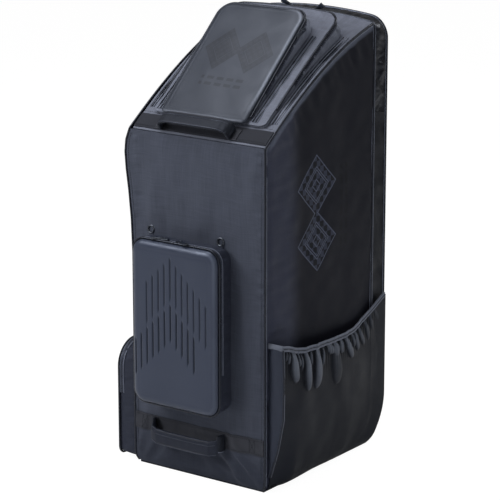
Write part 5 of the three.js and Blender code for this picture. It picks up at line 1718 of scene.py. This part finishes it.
def ring_at(side, a):
    """Ring in its small webbing loop, above one corner of the front pocket."""
    x, z = POCKET_X + a, POCKET_FOOT + POCKET_LENGTH + GAP + 1.6 + 8
    y = float(front_y(x, z)) - GAP - 1.6
    ring = added(
        bpy.ops.mesh.primitive_torus_add, major_radius=7.6 * MM, minor_radius=2.0 * MM, major_segments=40,
        minor_segments=12, location=Vector((x, y, z)) * MM, rotation=(math.pi / 2 - 0.12, 0, 0),
    )
    smooth_faces(named(ring, f"front_pocket_loop_ring_{side}"), 60)
    dress(ring, METAL, "pull_metal", f"front_pocket_ring_{side}")
    loop = added(
        bpy.ops.mesh.primitive_cube_add, size=1, location=Vector((x, y + 0.2, z - 10.5)) * MM,
        scale=Vector((13, 3.6, 9)) * MM,
    )
    apply_modifier(named(loop, f"front_pocket_webbing_loop_{side}"), "BEVEL", width=1.2 * MM, segments=3)
    smooth_faces(loop, 40)
    dress(loop, TAPE, "webbing")


ring_at("left", -POCKET_HALF + 12)
ring_at("right", POCKET_HALF - 24)

# Stitching: each row is its points and their outward direction


def shoulder_row(offset):
    """A row across the shoulder at a distance from the front edge."""
    x = np.linspace(-1, 1, 60) * (HALF_WIDTH - 6)
    y = np.full(60, FRONT_Y + offset)
    return joined(*on_shoulder(x, y, 4.4)), joined(0.0, *shoulder_normal(y))


def front_row(x, z, stand):
    return joined(x, front_face(x, z) - stand, z), (0, -1, 0)


def seam_row(side):
    """A row down one side of the front panel."""
    z = np.linspace(30, FRONT_HEIGHT - 8, 200)
    return front_row(side * (corner_x(side, z) - SEAM - 5.5), z, 0.1)


def cross_rows(x):
    """A boxed cross that holds the end of a strap on the bottom band."""
    right, low, high = x + 14.0, LOW_BAND[0] + 4, LOW_BAND[1] - 4
    ends = ((x, low, right, high), (x, high, right, low), (x, low, x, high), (right, low, right, high))
    share = np.linspace(0, 1, 12)
    return [front_row(mix(x0, x1, share), mix(z0, z1, share), 2.4) for x0, z0, x1, z1 in ends]


dress(stitches("front_seam_stitches", [seam_row(1), seam_row(-1)]), DARK_THREAD, "slate_cloth")
band_x = np.linspace(-HALF_WIDTH + 6, HALF_WIDTH - 6, 120)
band_rows = [shoulder_row(8), shoulder_row(37)]
band_rows += [front_row(band_x, z + 0 * band_x, 2.4) for z in (82.5, 109.5)]
band_rows += cross_rows(128) + cross_rows(-143)
dress(stitches("band_stitches", band_rows), DARK_THREAD, "webbing")

# Floor, lights and camera

bpy.ops.object.select_all(action="DESELECT")
bpy.ops.mesh.primitive_plane_add(size=30)
floor = bpy.context.object
floor.name = "studio_floor"
floor_look, tree, shader = material("studio_floor", 0.9, specular=0.1)
shader.inputs["Base Color"].default_value = (0.9, 0.9, 0.9, 1)
seen = signal(tree, "ShaderNodeLightPath", output="Is Camera Ray")
bright = signal(tree, "ShaderNodeEmission", {"Color": (1, 1, 1, 1), "Strength": 1.12})
mixed = signal(tree, "ShaderNodeMixShader", {0: seen * 0.86, 1: Signal(tree, shader.outputs[0]), 2: bright})
tree.links.new(mixed.socket, tree.nodes["Material Output"].inputs["Surface"])
floor.data.materials.append(floor_look)


def stand_at(obj, place, away):
    """Puts a light or camera at a place, in metres, looking against the direction `away`."""
    bpy.context.scene.collection.objects.link(obj)
    obj.location = place
    obj.rotation_mode = "QUATERNION"
    obj.rotation_quaternion = (-Vector(away)).to_track_quat("-Z", "Y")


for name, place, aim_z, size, power in (
    ("key_light", (-2.0, -2.5, 2.3), 0.55, (1.4, 1.4), 62),
    ("top_light", (-0.5, -0.6, 2.9), 0.6, (1.6, 1.6), 36),
    ("right_light", (3.0, -1.4, 2.2), 0.7, (0.6, 1.6), 12),
    ("rear_light", (1.4, 2.8, 2.6), 0.7, (1.4, 1.4), 34),
):
    light = bpy.data.lights.new(name, "AREA")
    light.shape = "RECTANGLE"
    light.size, light.size_y = size
    light.energy = power
    stand_at(bpy.data.objects.new(name, light), place, Vector(place) - Vector((0, 0, aim_z)))

world = bpy.data.worlds.new("studio")
bpy.context.scene.world = world
world.use_nodes = True
sky = world.node_tree.nodes["Background"]
sky.inputs["Color"].default_value = (1, 1, 1, 1)
seen = signal(world.node_tree, "ShaderNodeLightPath", output="Is Camera Ray")
world.node_tree.links.new(seen.math("MULTIPLY_ADD", 0.82, 0.18).socket, sky.inputs["Strength"])

AZIMUTH, ELEVATION = 0.6268498822437519, 0.25895094297530796
CAMERA_AIM = Vector((-27.112918165802956, 0, 431.76307457626734)) * MM
CAMERA_DISTANCE = 4.984838387778022
camera_data = bpy.data.cameras.new("camera")
camera_data.sensor_width = 36
camera_data.lens = 172.8
camera = bpy.data.objects.new("camera", camera_data)
level = math.cos(ELEVATION)
back = Vector((math.sin(AZIMUTH) * level, -math.cos(AZIMUTH) * level, math.sin(ELEVATION)))
stand_at(camera, CAMERA_AIM + back * CAMERA_DISTANCE, back)
bpy.context.scene.camera = camera
bpy.context.scene.view_settings.view_transform = "Standard"
